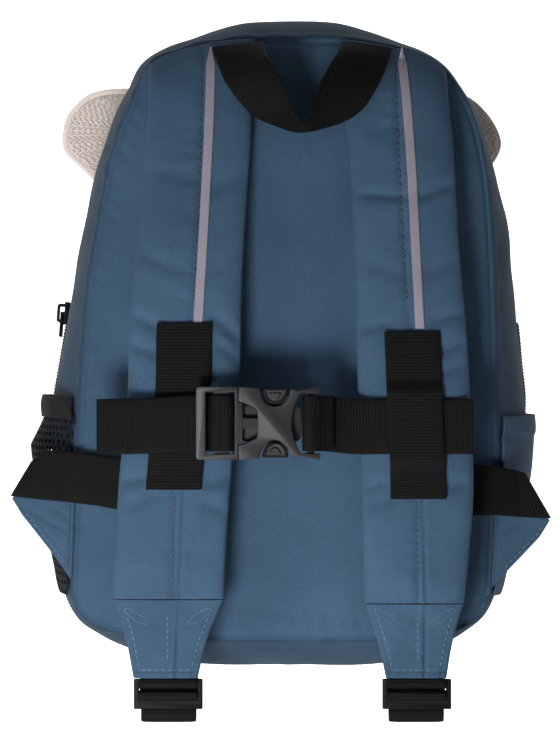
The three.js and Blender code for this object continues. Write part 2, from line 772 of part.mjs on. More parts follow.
// Depths of the chest strap's two strands, and of the buckle that holds them
const strandBack = chestRest + layer + 0.2;
const strandFront = strandBack + layer + 0.1;
const buckleLeft = buckleLeftShare * halfWidth;
const buckleFront = chestRest + buckleStand;
const frameFront = buckleFront - 1.3;
const frameThick = 4.4;
const barFront = frameFront - 0.6;
addPiece(
  "chest_strap_left",
  chestBand(
    [
      { x: chestEnds.left * halfWidth, out: strandFront },
      { x: buckleLeft - 20, out: strandFront, up: 0.3 },
      { x: buckleLeft - 2, out: strandFront - 0.2, up: 1 },
      { x: buckleLeft + 4.2, out: strandFront - 0.3, up: 1 },
      { x: buckleLeft + 6, out: strandFront + 1.4, up: 1 },
      { x: buckleLeft + 6.5, out: barFront - 1, up: 1 },
      { x: buckleLeft + 8.6, out: barFront + 1.3, up: 1 },
      { x: buckleLeft + 11.5, out: barFront + 1.4, up: 1 },
      { x: buckleLeft + 14.4, out: barFront + 1.3, up: 1 },
      { x: buckleLeft + 16.05, out: barFront - 0.2, up: 1 },
      { x: buckleLeft + 16.1, out: barFront - 4, up: 1 },
      { x: buckleLeft + 14, out: strandBack + 1.0, up: 1 },
      { x: buckleLeft + 8, out: strandBack + 0.5, up: 1 },
      { x: buckleLeft + 2, out: strandBack, up: 1 },
      { x: buckleLeft - 14, out: strandBack, up: 0.3 },
      { x: buckleLeft - 32, out: strandBack },
    ],
    48,
  ),
  blackWebbing,
);
const barLeft = buckleLeft + 49.4;
addPiece(
  "chest_strap_right",
  chestBand(
    [
      { x: chestEnds.right * halfWidth, out: chestRest },
      { x: (chestEnds.right * halfWidth) / 2, out: chestRest },
      { x: barLeft + 20.4, out: chestRest + 0.3 },
      { x: barLeft + 9, out: strandBack + 0.4, up: 0.8 },
      { x: barLeft + 4, out: strandFront + 0.6, up: 1 },
      { x: barLeft, out: strandFront + 1, up: 1 },
      { x: barLeft - 1.3, out: strandFront + 2.6, up: 1 },
      { x: barLeft - 1.5, out: barFront - 0.8, up: 1 },
      { x: barLeft - 0.7, out: barFront + 1.0, up: 1 },
      { x: barLeft + 0.9, out: barFront + 1.5, up: 1 },
      { x: barLeft + 3.6, out: barFront + 1.1, up: 1 },
      { x: barLeft + 7.4, out: barFront - 1.6, up: 1 },
      { x: barLeft + 11.5, out: strandFront + 1.4, up: 1 },
    ],
    40,
  ),
  blackWebbing,
);

// The buckle is made of flat shapes. Each point is u mm from its left end and v above its centre line, v as a
// share of half the webbing's width; a mirrored shape has the same points below that line too.
const buckleShape = (points) =>
  shapeOf(
    points.map(([u, v]) => [buckleLeft + u, buckleRise - chestDown + (v * webbingWidth) / 2]),
  );
const mirrored = (points) => [...points, ...points.map(([u, v]) => [u, -v]).reverse()];

const frameShape = buckleShape(
  mirrored([
    [0, 1.2],
    [0.9, 1.3],
    [18.6, 1.3],
    [18.6, 0.75],
    [20.6, 0.72],
  ]),
);
const slotEdge = 1.11;
const frameSlots = [
  { from: 4.1, to: 8 },
  { from: 14.7, to: 17.2 },
].map(({ from, to }) => buckleShape(mirrored([[from, slotEdge], [to, slotEdge]])));
const armPoints = [
  [17.6, 0.77],
  [27, 0.69],
  [40, 0.67],
  [42, 0.8],
  [40.6, 1.04],
  [36.9, 1.19],
  [33, 1.12],
  [31.2, 0.98],
  [17.6, 1.01],
];
const tonguePoints = [
  [18, 0.18],
  [37, 0.18],
  [38, 0.08],
];
const armThick = 3;
const armBack = buckleFront - buckleThick / 2 - armThick / 2;
const barRecess = slab(buckleShape(mirrored([[7.9, slotEdge], [14.8, slotEdge]])), 0.5 - barFront, 3);
const lowerArmPoints = armPoints.map(([u, v]) => [u, -v]).reverse();
const maleSolid = [armPoints, lowerArmPoints, mirrored(tonguePoints)].reduce(
  (rest, points) => rest.add(slab(buckleShape(points), -armBack, armThick)),
  windowed(frameShape, frameSlots, frameThick - frameFront, frameThick).subtract(barRecess),
);
addPiece("buckle_male", toGeometry(maleSolid), blackPlastic);

// The socket's sides are cut in round a finger-sized curve, so that the arms' tips can be pressed there
const notchSteps = 8;
const notch = Array.from({ length: notchSteps + 1 }, (_, step) => {
  const angle = (Math.PI * step) / notchSteps;
  return [35.2 - 6.9 * Math.cos(angle), 1.25 - 0.66 * Math.sin(angle)];
});
const socketShape = buckleShape(
  mirrored([
    [27.4, 0.4],
    [26.9, 0.53],
    [21.1, 0.74],
    [19, 0.78],
    [19, 1.3],
    ...notch,
    [45, 1.15],
    [50, 1.23],
    [54.6, 1.3],
    [55.3, 1.23],
    [55.3, 1.09],
    [47, 1.08],
    [45.9, 1.01],
    [43.6, 0.56],
    [42.5, 0.16],
  ]),
);
const socketHollow = buckleShape(
  mirrored([
    [17, 1.04],
    [31.4, 1.04],
    [31.4, 1.36],
    [42.6, 1.36],
    [42.6, 0.4],
    [40, 0.22],
  ]),
);
const socketBar = buckleShape(mirrored([[49.4, 1.12], [52.6, 1.12]]));
const socketBarThick = 2.4;
const socketSolid = slab(socketShape, buckleThick - buckleFront, buckleThick)
  .add(slab(socketBar, socketBarThick - barFront, socketBarThick))
  .subtract(slab(socketHollow, seamGap - armBack, armThick + 2 * seamGap));
addPiece("buckle_female", toGeometry(socketSolid), blackPlastic);

// Each ladder lock hangs just below its strap's end. Its bars are given from its top edge down, in mm.
const lockDrop = 2.4;
const lockDown = tabEndShare * bodyHeight + lockDrop;
const lockBack = between(tabRows.left, tabEndShare, "out") * strapStandoff + seamGap;
const lockWall = 2.3;
const lockBars = [
  { from: 0, to: 1.7 },
  { from: 5.8, to: 7.3 },
  { from: 9.4, to: 13.5 },
];

// A hanging band's edges; its path is a table of distances down and out
function hangingRows(centre, path, count) {
  const points = smoothPath(
    path.map(({ down, out }) => new THREE.Vector3(centre, -out, -down)),
    count,
  );
  return points.map((point) => ({
    a: point.clone().add(new THREE.Vector3(-webbingWidth / 2, 0, 0)),
    b: point.clone().add(new THREE.Vector3(webbingWidth / 2, 0, 0)),
  }));
}

// The webbing from each wing turns down behind the strap in one flat fold of this radius
const foldRadius = 0.82 * webbingThick;
const foldSteps = 6;
Object.entries(sides).forEach(([side, sign]) => {
  const centre = lockCentre[side] * halfWidth;
  const lockHalf = webbingWidth / 2 + lockRim;
  const [left, right] = [centre - lockHalf, centre + lockHalf];
  const lowestBar = lockBars[lockBars.length - 1];
  const frame = boxShape(left, right, -(lockDown + lowestBar.to), -lockDown);
  const lockWindows = lockBars
    .slice(1)
    .map((bar, k) =>
      boxShape(left + lockWall, right - lockWall, -(lockDown + bar.from), -(lockDown + lockBars[k].to)),
    );
  addPiece(
    `ladder_lock_${side}`,
    toGeometry(windowed(frame, lockWindows, -lockBack, lockThick)),
    blackPlastic,
  );

  const loopEnd = tabEndShare * bodyHeight + seamGap + 0.2;
  addPiece(
    `lock_loop_${side}`,
    ribbon(
      hangingRows(
        centre,
        [
          { down: loopEnd, out: lockBack + 3.6 },
          { down: lockDown + 0.5, out: lockBack + 4.3 },
          { down: lockDown + 1.6, out: lockBack + 4.3 },
          { down: lockDown + 2.7, out: lockBack + 3.5 },
          { down: lockDown + 2.95, out: lockBack + 1.6 },
          { down: lockDown + 2.7, out: lockBack - 0.3 },
          { down: lockDown + 1.6, out: lockBack - 1.1 },
          { down: lockDown + 0.5, out: lockBack - 1.1 },
          { down: loopEnd, out: lockBack - 0.5 },
        ],
        22,
      ),
      webbingThick,
    ),
    blackWebbing,
  );

  const wing = wingWebbingRows[side].map((row) => ({
    a: new THREE.Vector3(row.topSide * halfWidth, -row.out * strapStandoff, -row.topDown * bodyHeight),
    b: new THREE.Vector3(row.lowSide * halfWidth, -row.out * strapStandoff, -row.lowDown * bodyHeight),
  }));
  const last = wing[wing.length - 1];
  const foldTop = new THREE.Vector3(centre + (sign * webbingWidth) / 2, last.a.y, last.a.z);
  const foldLow = new THREE.Vector3(centre - (sign * webbingWidth) / 2, last.b.y, last.b.z);
  const across = foldLow.clone().sub(foldTop).normalize();
  const outward = new THREE.Vector3(across.z * sign, 0, -across.x * sign);
  const fold = Array.from({ length: foldSteps + 1 }, (_, step) => {
    const angle = (Math.PI * step) / foldSteps;
    const shift = outward.clone().multiplyScalar(foldRadius * Math.sin(angle));
    shift.y = -foldRadius * (1 - Math.cos(angle));
    return { a: foldTop.clone().add(shift), b: foldLow.clone().add(shift) };
  });
  const foldOut = -last.a.y + 2 * foldRadius;
  const fallStart = -last.b.z + 4;
  const fall = hangingRows(
    centre,
    [
      { down: fallStart, out: foldOut },
      { down: fallStart + 25, out: foldOut + 0.6 },
      { down: lockDown - 14, out: foldOut + 3 },
      { down: lockDown + 8, out: foldOut + 4.2 },
      { down: lockDown + 15, out: foldOut + 4.6 },
      { down: lockDown + 17.9, out: foldOut + 6 },
      { down: lockDown + 18.6, out: foldOut + 7.7 },
      { down: lockDown + 17.7, out: foldOut + 9.6 },
      { down: lockDown + 15, out: foldOut + 10.3 },
      { down: lockDown + 11.8, out: lockBack - 2.4 },
      { down: lockDown + 10.2, out: lockBack - 2.0 },
      { down: lockDown + 8.6, out: lockBack - 0.9 },
      { down: lockDown + 8.35, out: lockBack + 0.4 },
      { down: lockDown + 8.35, out: lockBack + 2.6 },
      { down: lockDown + 8.1, out: lockBack + 3.9 },
      { down: lockDown + 7.5, out: lockBack + 4.7 },
      { down: lockDown + 6.5, out: lockBack + 4.9 },
      { down: lockDown + 5.4, out: lockBack + 4.7 },
      { down: lockDown + 4.7, out: lockBack + 3.2 },
      { down: lockDown + 4.75, out: lockBack + 0.6 },
      { down: lockDown + 5.0, out: lockBack - 1.9 },
      { down: lockDown + 6.4, out: lockBack - 3.7 },
      { down: lockDown + 9.4, out: lockBack - 4.6 },
      { down: lockDown + 13.4, out: lockBack - 4.8 },
    ],
    76,
  ).map((row) => (sign < 0 ? row : { a: row.b, b: row.a }));
  addPiece(`adjuster_webbing_${side}`, ribbon([...wing, ...fold, ...fall], webbingThick), blackWebbing);

  const wingRim = rimFromSeam(wingRows[side], sign);
  const { side: wingSide, down: wingDown } = wingMiddles[side];
  const wingCentre = new THREE.Vector3(wingSide * halfWidth, 0, -wingDown * bodyHeight);
  addPiece(
    `wing_${side}`,
    plate(wingRim, wingCentre, [0.6, 1], (x, z, share, face) =>
      face < 0 ? 0.2 * wingThick * share - wingThick - seamGap : -seamGap,
    ),
    blueCloth,
  );

  const earCentre = new THREE.Vector3(sign * 0.97 * halfWidth, 0, -0.13 * bodyHeight);
  const earRim = 0.45;
  addPiece(
    `ear_${side}`,
    plate(rimFromSeam(earRows[side], sign), earCentre, [0.55, 0.88, 1], (x, z, share, face) => {
      const half = (earThick / 2) * (1 - (1 - earRim) * share ** 4);
      return depthAt(z) + seamGap + (earRim * earThick) / 2 + face * half;
    }),
    earCloth,
  );
});

addPiece(
  "grab_handle",
  ribbon(
    handleRows.map((row) => ({
      a: new THREE.Vector3(row.outerSide, -row.outerOut, -row.outerDown).multiplyScalar(webbingWidth),
      b: new THREE.Vector3(row.innerSide, -row.innerOut, -row.innerDown).multiplyScalar(webbingWidth),
    })),
    webbingThick,
  ),
  blackWebbing,
);

// The side pockets lie on the gusset between its seams, on these of its columns
const pocketColumns = [1, 2, 3, 4, 5, 6, 7];

// The gusset's outer face at a height down one side, lifted off it
function gussetAtHeight(sign, down, t, lift) {
  const along = seam.map((point, k) => ({ k, z: point.z, x: point.x })).filter((spot) => spot.x * sign > 0);
  const above = along.filter((spot) => spot.z >= -down).sort((one, other) => one.z - other.z)[0];
  const below = along.filter((spot) => spot.z < -down).sort((one, other) => other.z - one.z)[0];
  const share = (above.z + down) / (above.z - below.z);
  return gussetPoint(above.k, t, lift).lerp(gussetPoint(below.k, t, lift), share);
}

// A sheet over part of a side, its stand-off eased to nothing at the two long edges. It has a row at each of
// the gusset's.
function pocketSheet(side, fromDown, toDown, thick, offAt) {
  const inside = seam
    .filter((point) => point.x * sides[side] > 0)
    .map((point) => -point.z)
    .filter((down) => down > fromDown + 1 && down < toDown - 1)
    .sort((one, other) => one - other);
  const rings = [fromDown, ...inside, toDown].map((down) => {
    const faceAt = (lift) =>
      pocketColumns.map((column) => {
        const ease = Math.max(Math.sin((Math.PI * (column - 1)) / (pocketColumns.length - 1)), 0) ** 0.7;
        const off = 2.5 * seamGap + offAt(down) * ease + lift;
        return gussetAtHeight(sides[side], down, column / acrossCount, off);
      });
    return [...faceAt(thick), ...faceAt(0).reverse()];
  });
  return skin(rings, "strip");
}

const pocketTop = pocketTopShare * bodyHeight;
const pocketEnd = pocketEndShare * bodyHeight;
const bindingHeight = 10;
const pocketOff = (side) => (down) =>
  sideBulge * between(pocketRows[side], (down - pocketTop) / (pocketEnd - pocketTop), "off");
addPiece(
  "pocket_binding_left",
  pocketSheet("left", pocketTop, pocketTop + bindingHeight, 2.2, pocketOff("left")),
  blackWebbing,
);
addPiece(
  "mesh_pocket_left",
  pocketSheet("left", pocketTop + bindingHeight + seamGap, pocketEnd, 1.2, pocketOff("left")),
  blackMesh,
);
addPiece(
  "side_pocket_right",
  pocketSheet("right", pocketTop + 8.5, pocketEnd, 1.4, pocketOff("right")),
  blueCloth,
);

// The zip's slider stands a little above the zip's left end, and its pull hangs from the bridge on it
const sliderZ = 7 - zipEndShare * bodyHeight;
const sliderSample = seam
  .map((point, k) => ({ k, gap: Math.abs(point.z - sliderZ) + (point.x > 0 ? bodyHeight : 0) }))
  .sort((one, other) => one.gap - other.gap)[0].k;
const sliderSpot = gussetPoint(sliderSample, zipShare, 0);
const sliderOut = seamNormals[sliderSample];
const sliderUp = new THREE.Vector3(-sliderOut.z, 0, sliderOut.x);
if (sliderUp.z < 0) {
  sliderUp.negate();
}
// Drawn with x along the zip, y outward from the gusset and z across the zip, then set in place
const sliderFrame = new THREE.Matrix4()
  .makeBasis(sliderUp, sliderOut, sliderUp.clone().cross(sliderOut))
  .setPosition(sliderSpot);

function placed(shape, width) {
  const geometry = new THREE.ExtrudeGeometry(shape, { depth: width, bevelEnabled: false });
  geometry.translate(0, 0, -width / 2);
  geometry.applyMatrix4(sliderFrame);
  return toSolid(geometry);
}

const bridge = shapeOf([
  [-4.6, 2],
  [-4.6, 5.6],
  [-3.6, 6.6],
  [3.6, 6.6],
  [4.6, 5.6],
  [4.6, 2],
  [3, 2],
  [3, 5.2],
  [-3, 5.2],
  [-3, 2],
]);
const sliderSolid = placed(boxShape(-5.5, 5.5, 0.75, 2.8), 9).add(placed(bridge, 2));
addPiece("zip_slider", toGeometry(sliderSolid), blackPlastic);
const pullSolid = placed(boxShape(-11.5, 0.7, 3.3, 4.7), 6).subtract(
  placed(boxShape(-6.2, -0.7, 2, 6), 3.2),
);
addPiece("zip_pull", toGeometry(pullSolid), blackPlastic);

export default group;
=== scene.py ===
import math

import bmesh
import bpy
import numpy as np
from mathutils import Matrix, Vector
from mathutils.bvhtree import BVHTree


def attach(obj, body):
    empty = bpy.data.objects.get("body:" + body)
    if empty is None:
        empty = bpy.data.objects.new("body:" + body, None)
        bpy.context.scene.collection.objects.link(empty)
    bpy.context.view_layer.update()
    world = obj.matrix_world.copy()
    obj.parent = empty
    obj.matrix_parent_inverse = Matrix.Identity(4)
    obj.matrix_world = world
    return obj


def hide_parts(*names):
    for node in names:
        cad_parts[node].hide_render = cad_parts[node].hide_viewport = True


# A kindergarten backpack, seen from the side that lies against the wearer. Lengths are in millimetres
# along the frame's own axes, and become metres when a mesh is made.
mm = 0.001
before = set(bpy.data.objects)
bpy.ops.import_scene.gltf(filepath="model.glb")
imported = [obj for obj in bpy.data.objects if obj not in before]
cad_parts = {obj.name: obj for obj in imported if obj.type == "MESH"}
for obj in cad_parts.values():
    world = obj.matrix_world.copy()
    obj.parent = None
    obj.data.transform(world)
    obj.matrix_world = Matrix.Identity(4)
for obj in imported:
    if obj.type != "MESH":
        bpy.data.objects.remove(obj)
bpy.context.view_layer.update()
scene = bpy.context.scene
scene.view_settings.view_transform = "Standard"
print("stage 1: the frame is loaded")

bag = {
    "halfWidth": 96.5,
    "height": 277.0,
    "depthTop": 86.0,
    "depthBase": 116.0,
    "sideBulge": 16.0,
    "bulgePower": 2.4,
    "floorZ": -292.5,
    "seamGap": 0.3,
    "around": 480,  # steps round the seam, under 2 mm each
    "reach": 85,  # from the back panel's middle to its seam, on average
    "cloth": 1.6,  # how thick the body's cloth is with its lining
}
sides = {"left": -1, "right": 1}


# Smooth step from 0 at low to 1 at high: 3t^2 - 2t^3 of the share t of the way.
def ease(value, low, high):
    t = np.clip((value - low) / (high - low), 0, 1)
    return t * t * (3 - 2 * t)


# A bell curve: 1 in the middle and nearly nothing at twice the width away from it.
def bell(away, width):
    return np.exp(-((away / width) ** 2))


# Rows of numbers as dictionaries, under their columns' names.
def tableOf(names, rows):
    return [dict(zip(names.split(), row)) for row in rows]


# A table's column at some shares of the way down: a cubic between rows, each row's slope taken from its
# neighbours.
def column(rows, at, name):
    x = np.array([row["at"] for row in rows])
    y = np.array([row[name] for row in rows])
    slope = np.gradient(y, x)
    i = np.clip(np.searchsorted(x, at, "right") - 1, 0, len(x) - 2)
    step = x[i + 1] - x[i]
    t = np.clip((at - x[i]) / step, 0, 1)
    start = y[i] * (1 + 2 * t) + slope[i] * step * t
    end = y[i + 1] * (3 - 2 * t) + slope[i + 1] * step * (t - 1)
    return start * (1 - t) ** 2 + end * t**2


# A smooth line through points of any dimension: centripetal cubic spans, then even steps along its length.
def smoothLine(points, count):
    p = np.asarray(points, float)
    p = np.concatenate([[2 * p[0] - p[1]], p, [2 * p[-1] - p[-2]]])
    knots = np.concatenate([[0], np.cumsum(np.linalg.norm(np.diff(p, axis=0), axis=1) ** 0.5)])
    t = np.linspace(knots[1], knots[-2], 40 * len(p))
    i = np.clip(np.searchsorted(knots, t, "right") - 1, 1, len(p) - 3)
    k = [knots[i + n] for n in (-1, 0, 1, 2)]
    q = [p[i + n] for n in (-1, 0, 1, 2)]

    def mix(a, b, low, high):
        share = ((t - low) / (high - low))[:, None]
        return a * (1 - share) + b * share

    first, second, third = (mix(q[n], q[n + 1], k[n], k[n + 1]) for n in range(3))
    line = mix(mix(first, second, k[0], k[2]), mix(second, third, k[1], k[3]), k[1], k[2])
    return evenLine(line, count)


# How far each point of a line lies from its start, measured along it.
def runOf(line):
    return np.concatenate([[0], np.cumsum(np.linalg.norm(np.diff(line, axis=0), axis=1))])


# Even steps along the straight spans between points.
def evenLine(line, count):
    line = np.asarray(line, float)
    away = runOf(line)
    even = np.linspace(0, away[-1], count)
    return np.stack([np.interp(even, away, line[:, n]) for n in range(line.shape[1])], -1)


def unit(vectors):
    return vectors / np.maximum(np.linalg.norm(vectors, axis=-1, keepdims=True), 1e-9)


# A box with rounded corners, seen end on: an angle's cosine and sine, each drawn towards 1 by a power
# below 1.
def roundedBox(angle, widePower, highPower):
    wide = np.sign(np.cos(angle)) * np.abs(np.cos(angle)) ** widePower
    high = np.sign(np.sin(angle)) * np.abs(np.sin(angle)) ** highPower
    return wide, high


# Uneven waves along a line: a sum of sines with seeded phases, about 1 at most.
def waves(distance, length, seed, count=5):
    random = np.random.default_rng(seed)
    lengths = length * random.uniform(0.6, 1.9, count)
    phases = random.uniform(0, 2 * np.pi, count)
    sizes = random.uniform(0.5, 1, count)
    turn = 2 * np.pi * np.asarray(distance)[..., None] / lengths + phases
    return (np.sin(turn) * sizes).sum(-1) / sizes.sum()


# Creases on a face: each row is a line from (x0, z0) to (x1, z1), and the cloth sinks by its depth
# there, fading as a bell curve across its width and to nothing at both ends.
def creaseDepth(x, z, rows):
    total = np.zeros(np.broadcast(x, z).shape)
    for x0, z0, x1, z1, depth, width in rows:
        length = math.hypot(x1 - x0, z1 - z0)
        ux, uz = (x1 - x0) / length, (z1 - z0) / length
        along = (x - x0) * ux + (z - z0) * uz
        across = (x - x0) * -uz + (z - z0) * ux
        fade = ease(along, -0.25 * length, 0.25 * length) * ease(-along, -1.25 * length, -0.75 * length)
        total += depth * fade * bell(across, width)
    return total


# Puts points (mm) and quads into a mesh. uv has a row for each corner of each quad, in metres of cloth.
def makeMesh(name, points, quads, uv=None):
    mesh = bpy.data.meshes.new(name)
    mesh.from_pydata((np.asarray(points) * mm).tolist(), [], quads.tolist())
    if uv is not None:
        layer = mesh.uv_layers.new(name="cloth")
        layer.data.foreach_set("uv", uv.astype(np.float32).ravel())
    mesh.polygons.foreach_set("use_smooth", np.ones(len(quads), bool))
    obj = bpy.data.objects.new(name, mesh)
    scene.collection.objects.link(obj)
    return obj


# Merges points nearer than some mm, as a pole's are, and turns the faces of a closed piece outward.
def closeUp(obj, closed=True, near=0.004):
    work = bmesh.new()
    work.from_mesh(obj.data)
    if near:
        bmesh.ops.remove_doubles(work, verts=work.verts, dist=near * mm)
    if closed:
        bmesh.ops.recalc_face_normals(work, faces=work.faces)
    work.to_mesh(obj.data)
    work.free()
    return obj


# Distances over a grid each way, as the cloth's own UV in metres.
def clothUv(grid, wrapRows=False, wrapColumns=False):
    if wrapRows:
        grid = np.concatenate([grid, grid[:1]])
    if wrapColumns:
        grid = np.concatenate([grid, grid[:, :1]], 1)
    down = np.linalg.norm(np.diff(grid, axis=0), axis=-1).mean(1)
    across = np.linalg.norm(np.diff(grid, axis=1), axis=-1).mean(0)
    down, across = (np.concatenate([[0], np.cumsum(part)]) for part in (down, across))
    return np.stack(np.meshgrid(across, down), -1) * mm


# A grid closed round its columns, seen flat from the back or the front: X and Z are its UV.
def flatUv(grid):
    return np.concatenate([grid, grid[:, :1]], 1)[..., [0, 2]] * mm


# The corners of each face of a grid, as rows and columns, and as numbers of its points.
def gridFaces(rows, columns, wrapRows=False, wrapColumns=False):
    r, c = np.meshgrid(
        np.arange(rows if wrapRows else rows - 1),
        np.arange(columns if wrapColumns else columns - 1),
        indexing="ij",
    )
    corners = [(r, c), (r, c + 1), (r + 1, c + 1), (r + 1, c)]
    quads = np.stack([(i % rows) * columns + j % columns for i, j in corners], -1)
    return corners, quads.reshape(-1, 4)


# A surface through a grid of points. Rows or columns may close on themselves.
def gridSurface(name, grid, wrapRows=False, wrapColumns=False, uv=None):
    corners, quads = gridFaces(*grid.shape[:2], wrapRows, wrapColumns)
    uv = clothUv(grid, wrapRows, wrapColumns) if uv is None else uv
    cornerUv = np.stack([uv[i, j] for i, j in corners], -2).reshape(-1, 2)
    return makeMesh(name, grid.reshape(-1, 3), quads, cornerUv)


# A closed tube through sections: rows of points round it, each end drawn in to its middle in two steps.
def closedTube(name, sections, uv=None):
    ends = [sections[:1], sections[-1:]]
    middles = [end.mean(1, keepdims=True) for end in ends]
    first = [middles[0] + (ends[0] - middles[0]) * share for share in (0, 0.5)]
    last = [middles[1] + (ends[1] - middles[1]) * share for share in (0.5, 0)]
    grid = np.concatenate([*first, sections, *last])
    if uv is not None:
        uv = np.concatenate([uv[:1], uv[:1], uv, uv[-1:], uv[-1:]])
    return closeUp(gridSurface(name, grid, wrapColumns=True, uv=uv))


# Where a line lands on a piece when it is looked at along +Y: places in mm and outward normals.
def landOn(obj, points):
    tree = BVHTree.FromObject(obj, bpy.context.evaluated_depsgraph_get())
    look, far = Vector((0, 1, 0)), 300
    places, normals = [], []
    for point in np.asarray(points, float):
        place, normal, _, _ = tree.ray_cast(Vector(point * mm) - look * far * mm, look)
        if place is None:
            place, normal, _, _ = tree.find_nearest(Vector(point * mm))
        places.append(place / mm)
        normals.append(normal if normal.dot(look) < 0 else -normal)
    return np.array(places), np.array(normals)


# Threads along a line on a piece. Each is a spindle that dips into the cloth at both ends: its middle
# line rises by a sine, and its radius is the root of that sine. A zigzag turns each one to the other
# side of the line.
def stitches(name, line, normals, look, zigzag=0.0, rings=6, around=6):
    steps = runOf(line)
    pitch = look["length"] + look["gap"]
    count = max(int(steps[-1] // pitch), 1)
    share = np.linspace(0, 1, rings)
    start = np.arange(count)[:, None] * pitch + (steps[-1] - count * pitch + look["gap"]) / 2
    place = start + share * look["length"]
    at = lambda values: np.stack([np.interp(place, steps, values[:, n]) for n in range(3)], -1)
    centre, normal = at(line), unit(at(normals))
    along = unit(np.gradient(centre, axis=1))
    side = unit(np.cross(normal, along))
    turn = np.where(np.arange(count) % 2, -1, 1)[:, None, None] * (share * 2 - 1)[None, :, None]
    rise = np.sin(np.pi * share)
    centre = centre + side * turn * zigzag + normal * (rise * look["lift"] - look["sink"])[None, :, None]
    angle = np.linspace(0, 2 * np.pi, around, endpoint=False)[:, None]
    radius = (look["radius"] * np.sqrt(rise) + 0.01)[:, None, None]
    ringWay = np.cos(angle) * normal[:, :, None, :] + np.sin(angle) * side[:, :, None, :]
    points = centre[:, :, None, :] + radius * ringWay
    quads = gridFaces(rings, around, wrapColumns=True)[1]
    quads = (quads[None] + (np.arange(count) * rings * around)[:, None, None]).reshape(-1, 4)
    return closeUp(makeMesh(name, points.reshape(-1, 3), quads), near=0.012)


# Joins pieces of one kind, such as rows of stitches, into one.
def joined(name, pieces):
    work = bmesh.new()
    for piece in pieces:
        work.from_mesh(piece.data)
    mesh = bpy.data.meshes.new(name)
    work.to_mesh(mesh)
    work.free()
    mesh.polygons.foreach_set("use_smooth", np.ones(len(mesh.polygons), bool))
    for piece in pieces:
        bpy.data.objects.remove(piece)
    obj = bpy.data.objects.new(name, mesh)
    scene.collection.objects.link(obj)
    return obj


# Gives a piece its finish, the body it moves with and the CAD nodes it stands for.
def finishPiece(obj, material, nodes=(), body="bag"):
    obj.data.materials.clear()
    obj.data.materials.append(material)
    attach(obj, body)
    if nodes:
        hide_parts(*nodes)
    return obj


def thicken(obj, thick, offset=-1.0):
    solid = obj.modifiers.new("cloth thickness", "SOLIDIFY")
    solid.thickness = thick * mm
    solid.offset = offset
    return obj


# sRGB hex to the linear colour that a shader reads.
def colour(text):
    part = np.array([int(text[n : n + 2], 16) / 255 for n in (1, 3, 5)])
    linear = np.where(part <= 0.04045, part / 12.92, ((part + 0.055) / 1.055) ** 2.4)
    return (*linear, 1)


# Adds a node with its settings, and sets or links its inputs.
def addNode(tree, kind, inputs=None, **settings):
    node = tree.nodes.new(kind)
    for name, value in settings.items():
        setattr(node, name, value)
    for name, value in (inputs or {}).items():
        if isinstance(value, bpy.types.NodeSocket):
            tree.links.new(value, node.inputs[name])
        else:
            node.inputs[name].default_value = value
    return node


def newMaterial(name, **sockets):
    material = bpy.data.materials.new(name)
    material.use_nodes = True
    shader = material.node_tree.nodes["Principled BSDF"]
    for socket, value in sockets.items():
        shader.inputs[socket.replace("_", " ")].default_value = value
    return material, material.node_tree, shader


# Colours a shader between two shades by a share, and bumps it by a height, at most some mm deep.
def dress(tree, shader, share, dark, light, height, strength, deep):
    shades = {0: share, 6: colour(dark), 7: colour(light)}
    tint = addNode(tree, "ShaderNodeMix", shades, data_type="RGBA")
    tree.links.new(tint.outputs[2], shader.inputs["Base Color"])
    bump = addNode(tree, "ShaderNodeBump", {"Height": height, "Strength": strength, "Distance": deep * mm})
    tree.links.new(bump.outputs[0], shader.inputs["Normal"])


# Woven polyester: threads cross at a spacing, and every other crossing stands up, so the weave is a
# field of small lozenges. The spacing is drawn at about twice the real one, or it wouldn't show. Broad
# patches are a little faded.
def wovenCloth(name, dark, light, spacing, roughness, weaveBump, patch=38, sheen=0.12):
    material, tree, shader = newMaterial(
        name, Roughness=roughness, Sheen_Weight=sheen, Sheen_Roughness=0.4, Specular_IOR_Level=0.15
    )
    place = addNode(tree, "ShaderNodeUVMap", uv_map="cloth")
    split = addNode(tree, "ShaderNodeSeparateXYZ", {0: place.outputs[0]})
    rate = 2 * math.pi / (spacing * mm)
    sines = []
    for socket in ("X", "Y"):
        turn = addNode(tree, "ShaderNodeMath", {0: split.outputs[socket], 1: rate}, operation="MULTIPLY")
        sines.append(addNode(tree, "ShaderNodeMath", {0: turn.outputs[0]}, operation="SINE").outputs[0])
    cross = addNode(tree, "ShaderNodeMath", {0: sines[0], 1: sines[1]}, operation="MULTIPLY")
    crown = addNode(
        tree, "ShaderNodeMapRange", {0: cross.outputs[0], 1: -1.0, 2: 1.0, 3: 0.0, 4: 1.0}, clamp=True
    )
    body = addNode(tree, "ShaderNodeTexCoord")
    fade = addNode(
        tree, "ShaderNodeTexNoise", {"Vector": body.outputs["Object"], "Scale": 1000 / patch, "Detail": 3.0}
    )
    slub = addNode(
        tree, "ShaderNodeTexNoise", {"Vector": body.outputs["Object"], "Scale": 900.0, "Detail": 2.0}
    )
    share = addNode(
        tree, "ShaderNodeMapRange", {0: fade.outputs[0], 1: 0.3, 2: 0.7, 3: -0.16, 4: 0.16}, clamp=True
    )
    grain = addNode(
        tree, "ShaderNodeMapRange", {0: slub.outputs[0], 1: 0.3, 2: 0.7, 3: -0.12, 4: 0.12}, clamp=True
    )
    sum1 = addNode(tree, "ShaderNodeMath", {0: crown.outputs[0], 1: share.outputs[0]}, operation="ADD")
    sum2 = addNode(
        tree, "ShaderNodeMath", {0: sum1.outputs[0], 1: grain.outputs[0]}, operation="ADD", use_clamp=True
    )
    dress(tree, shader, sum2.outputs[0], dark, light, crown.outputs[0], weaveBump, 0.12)
    return material


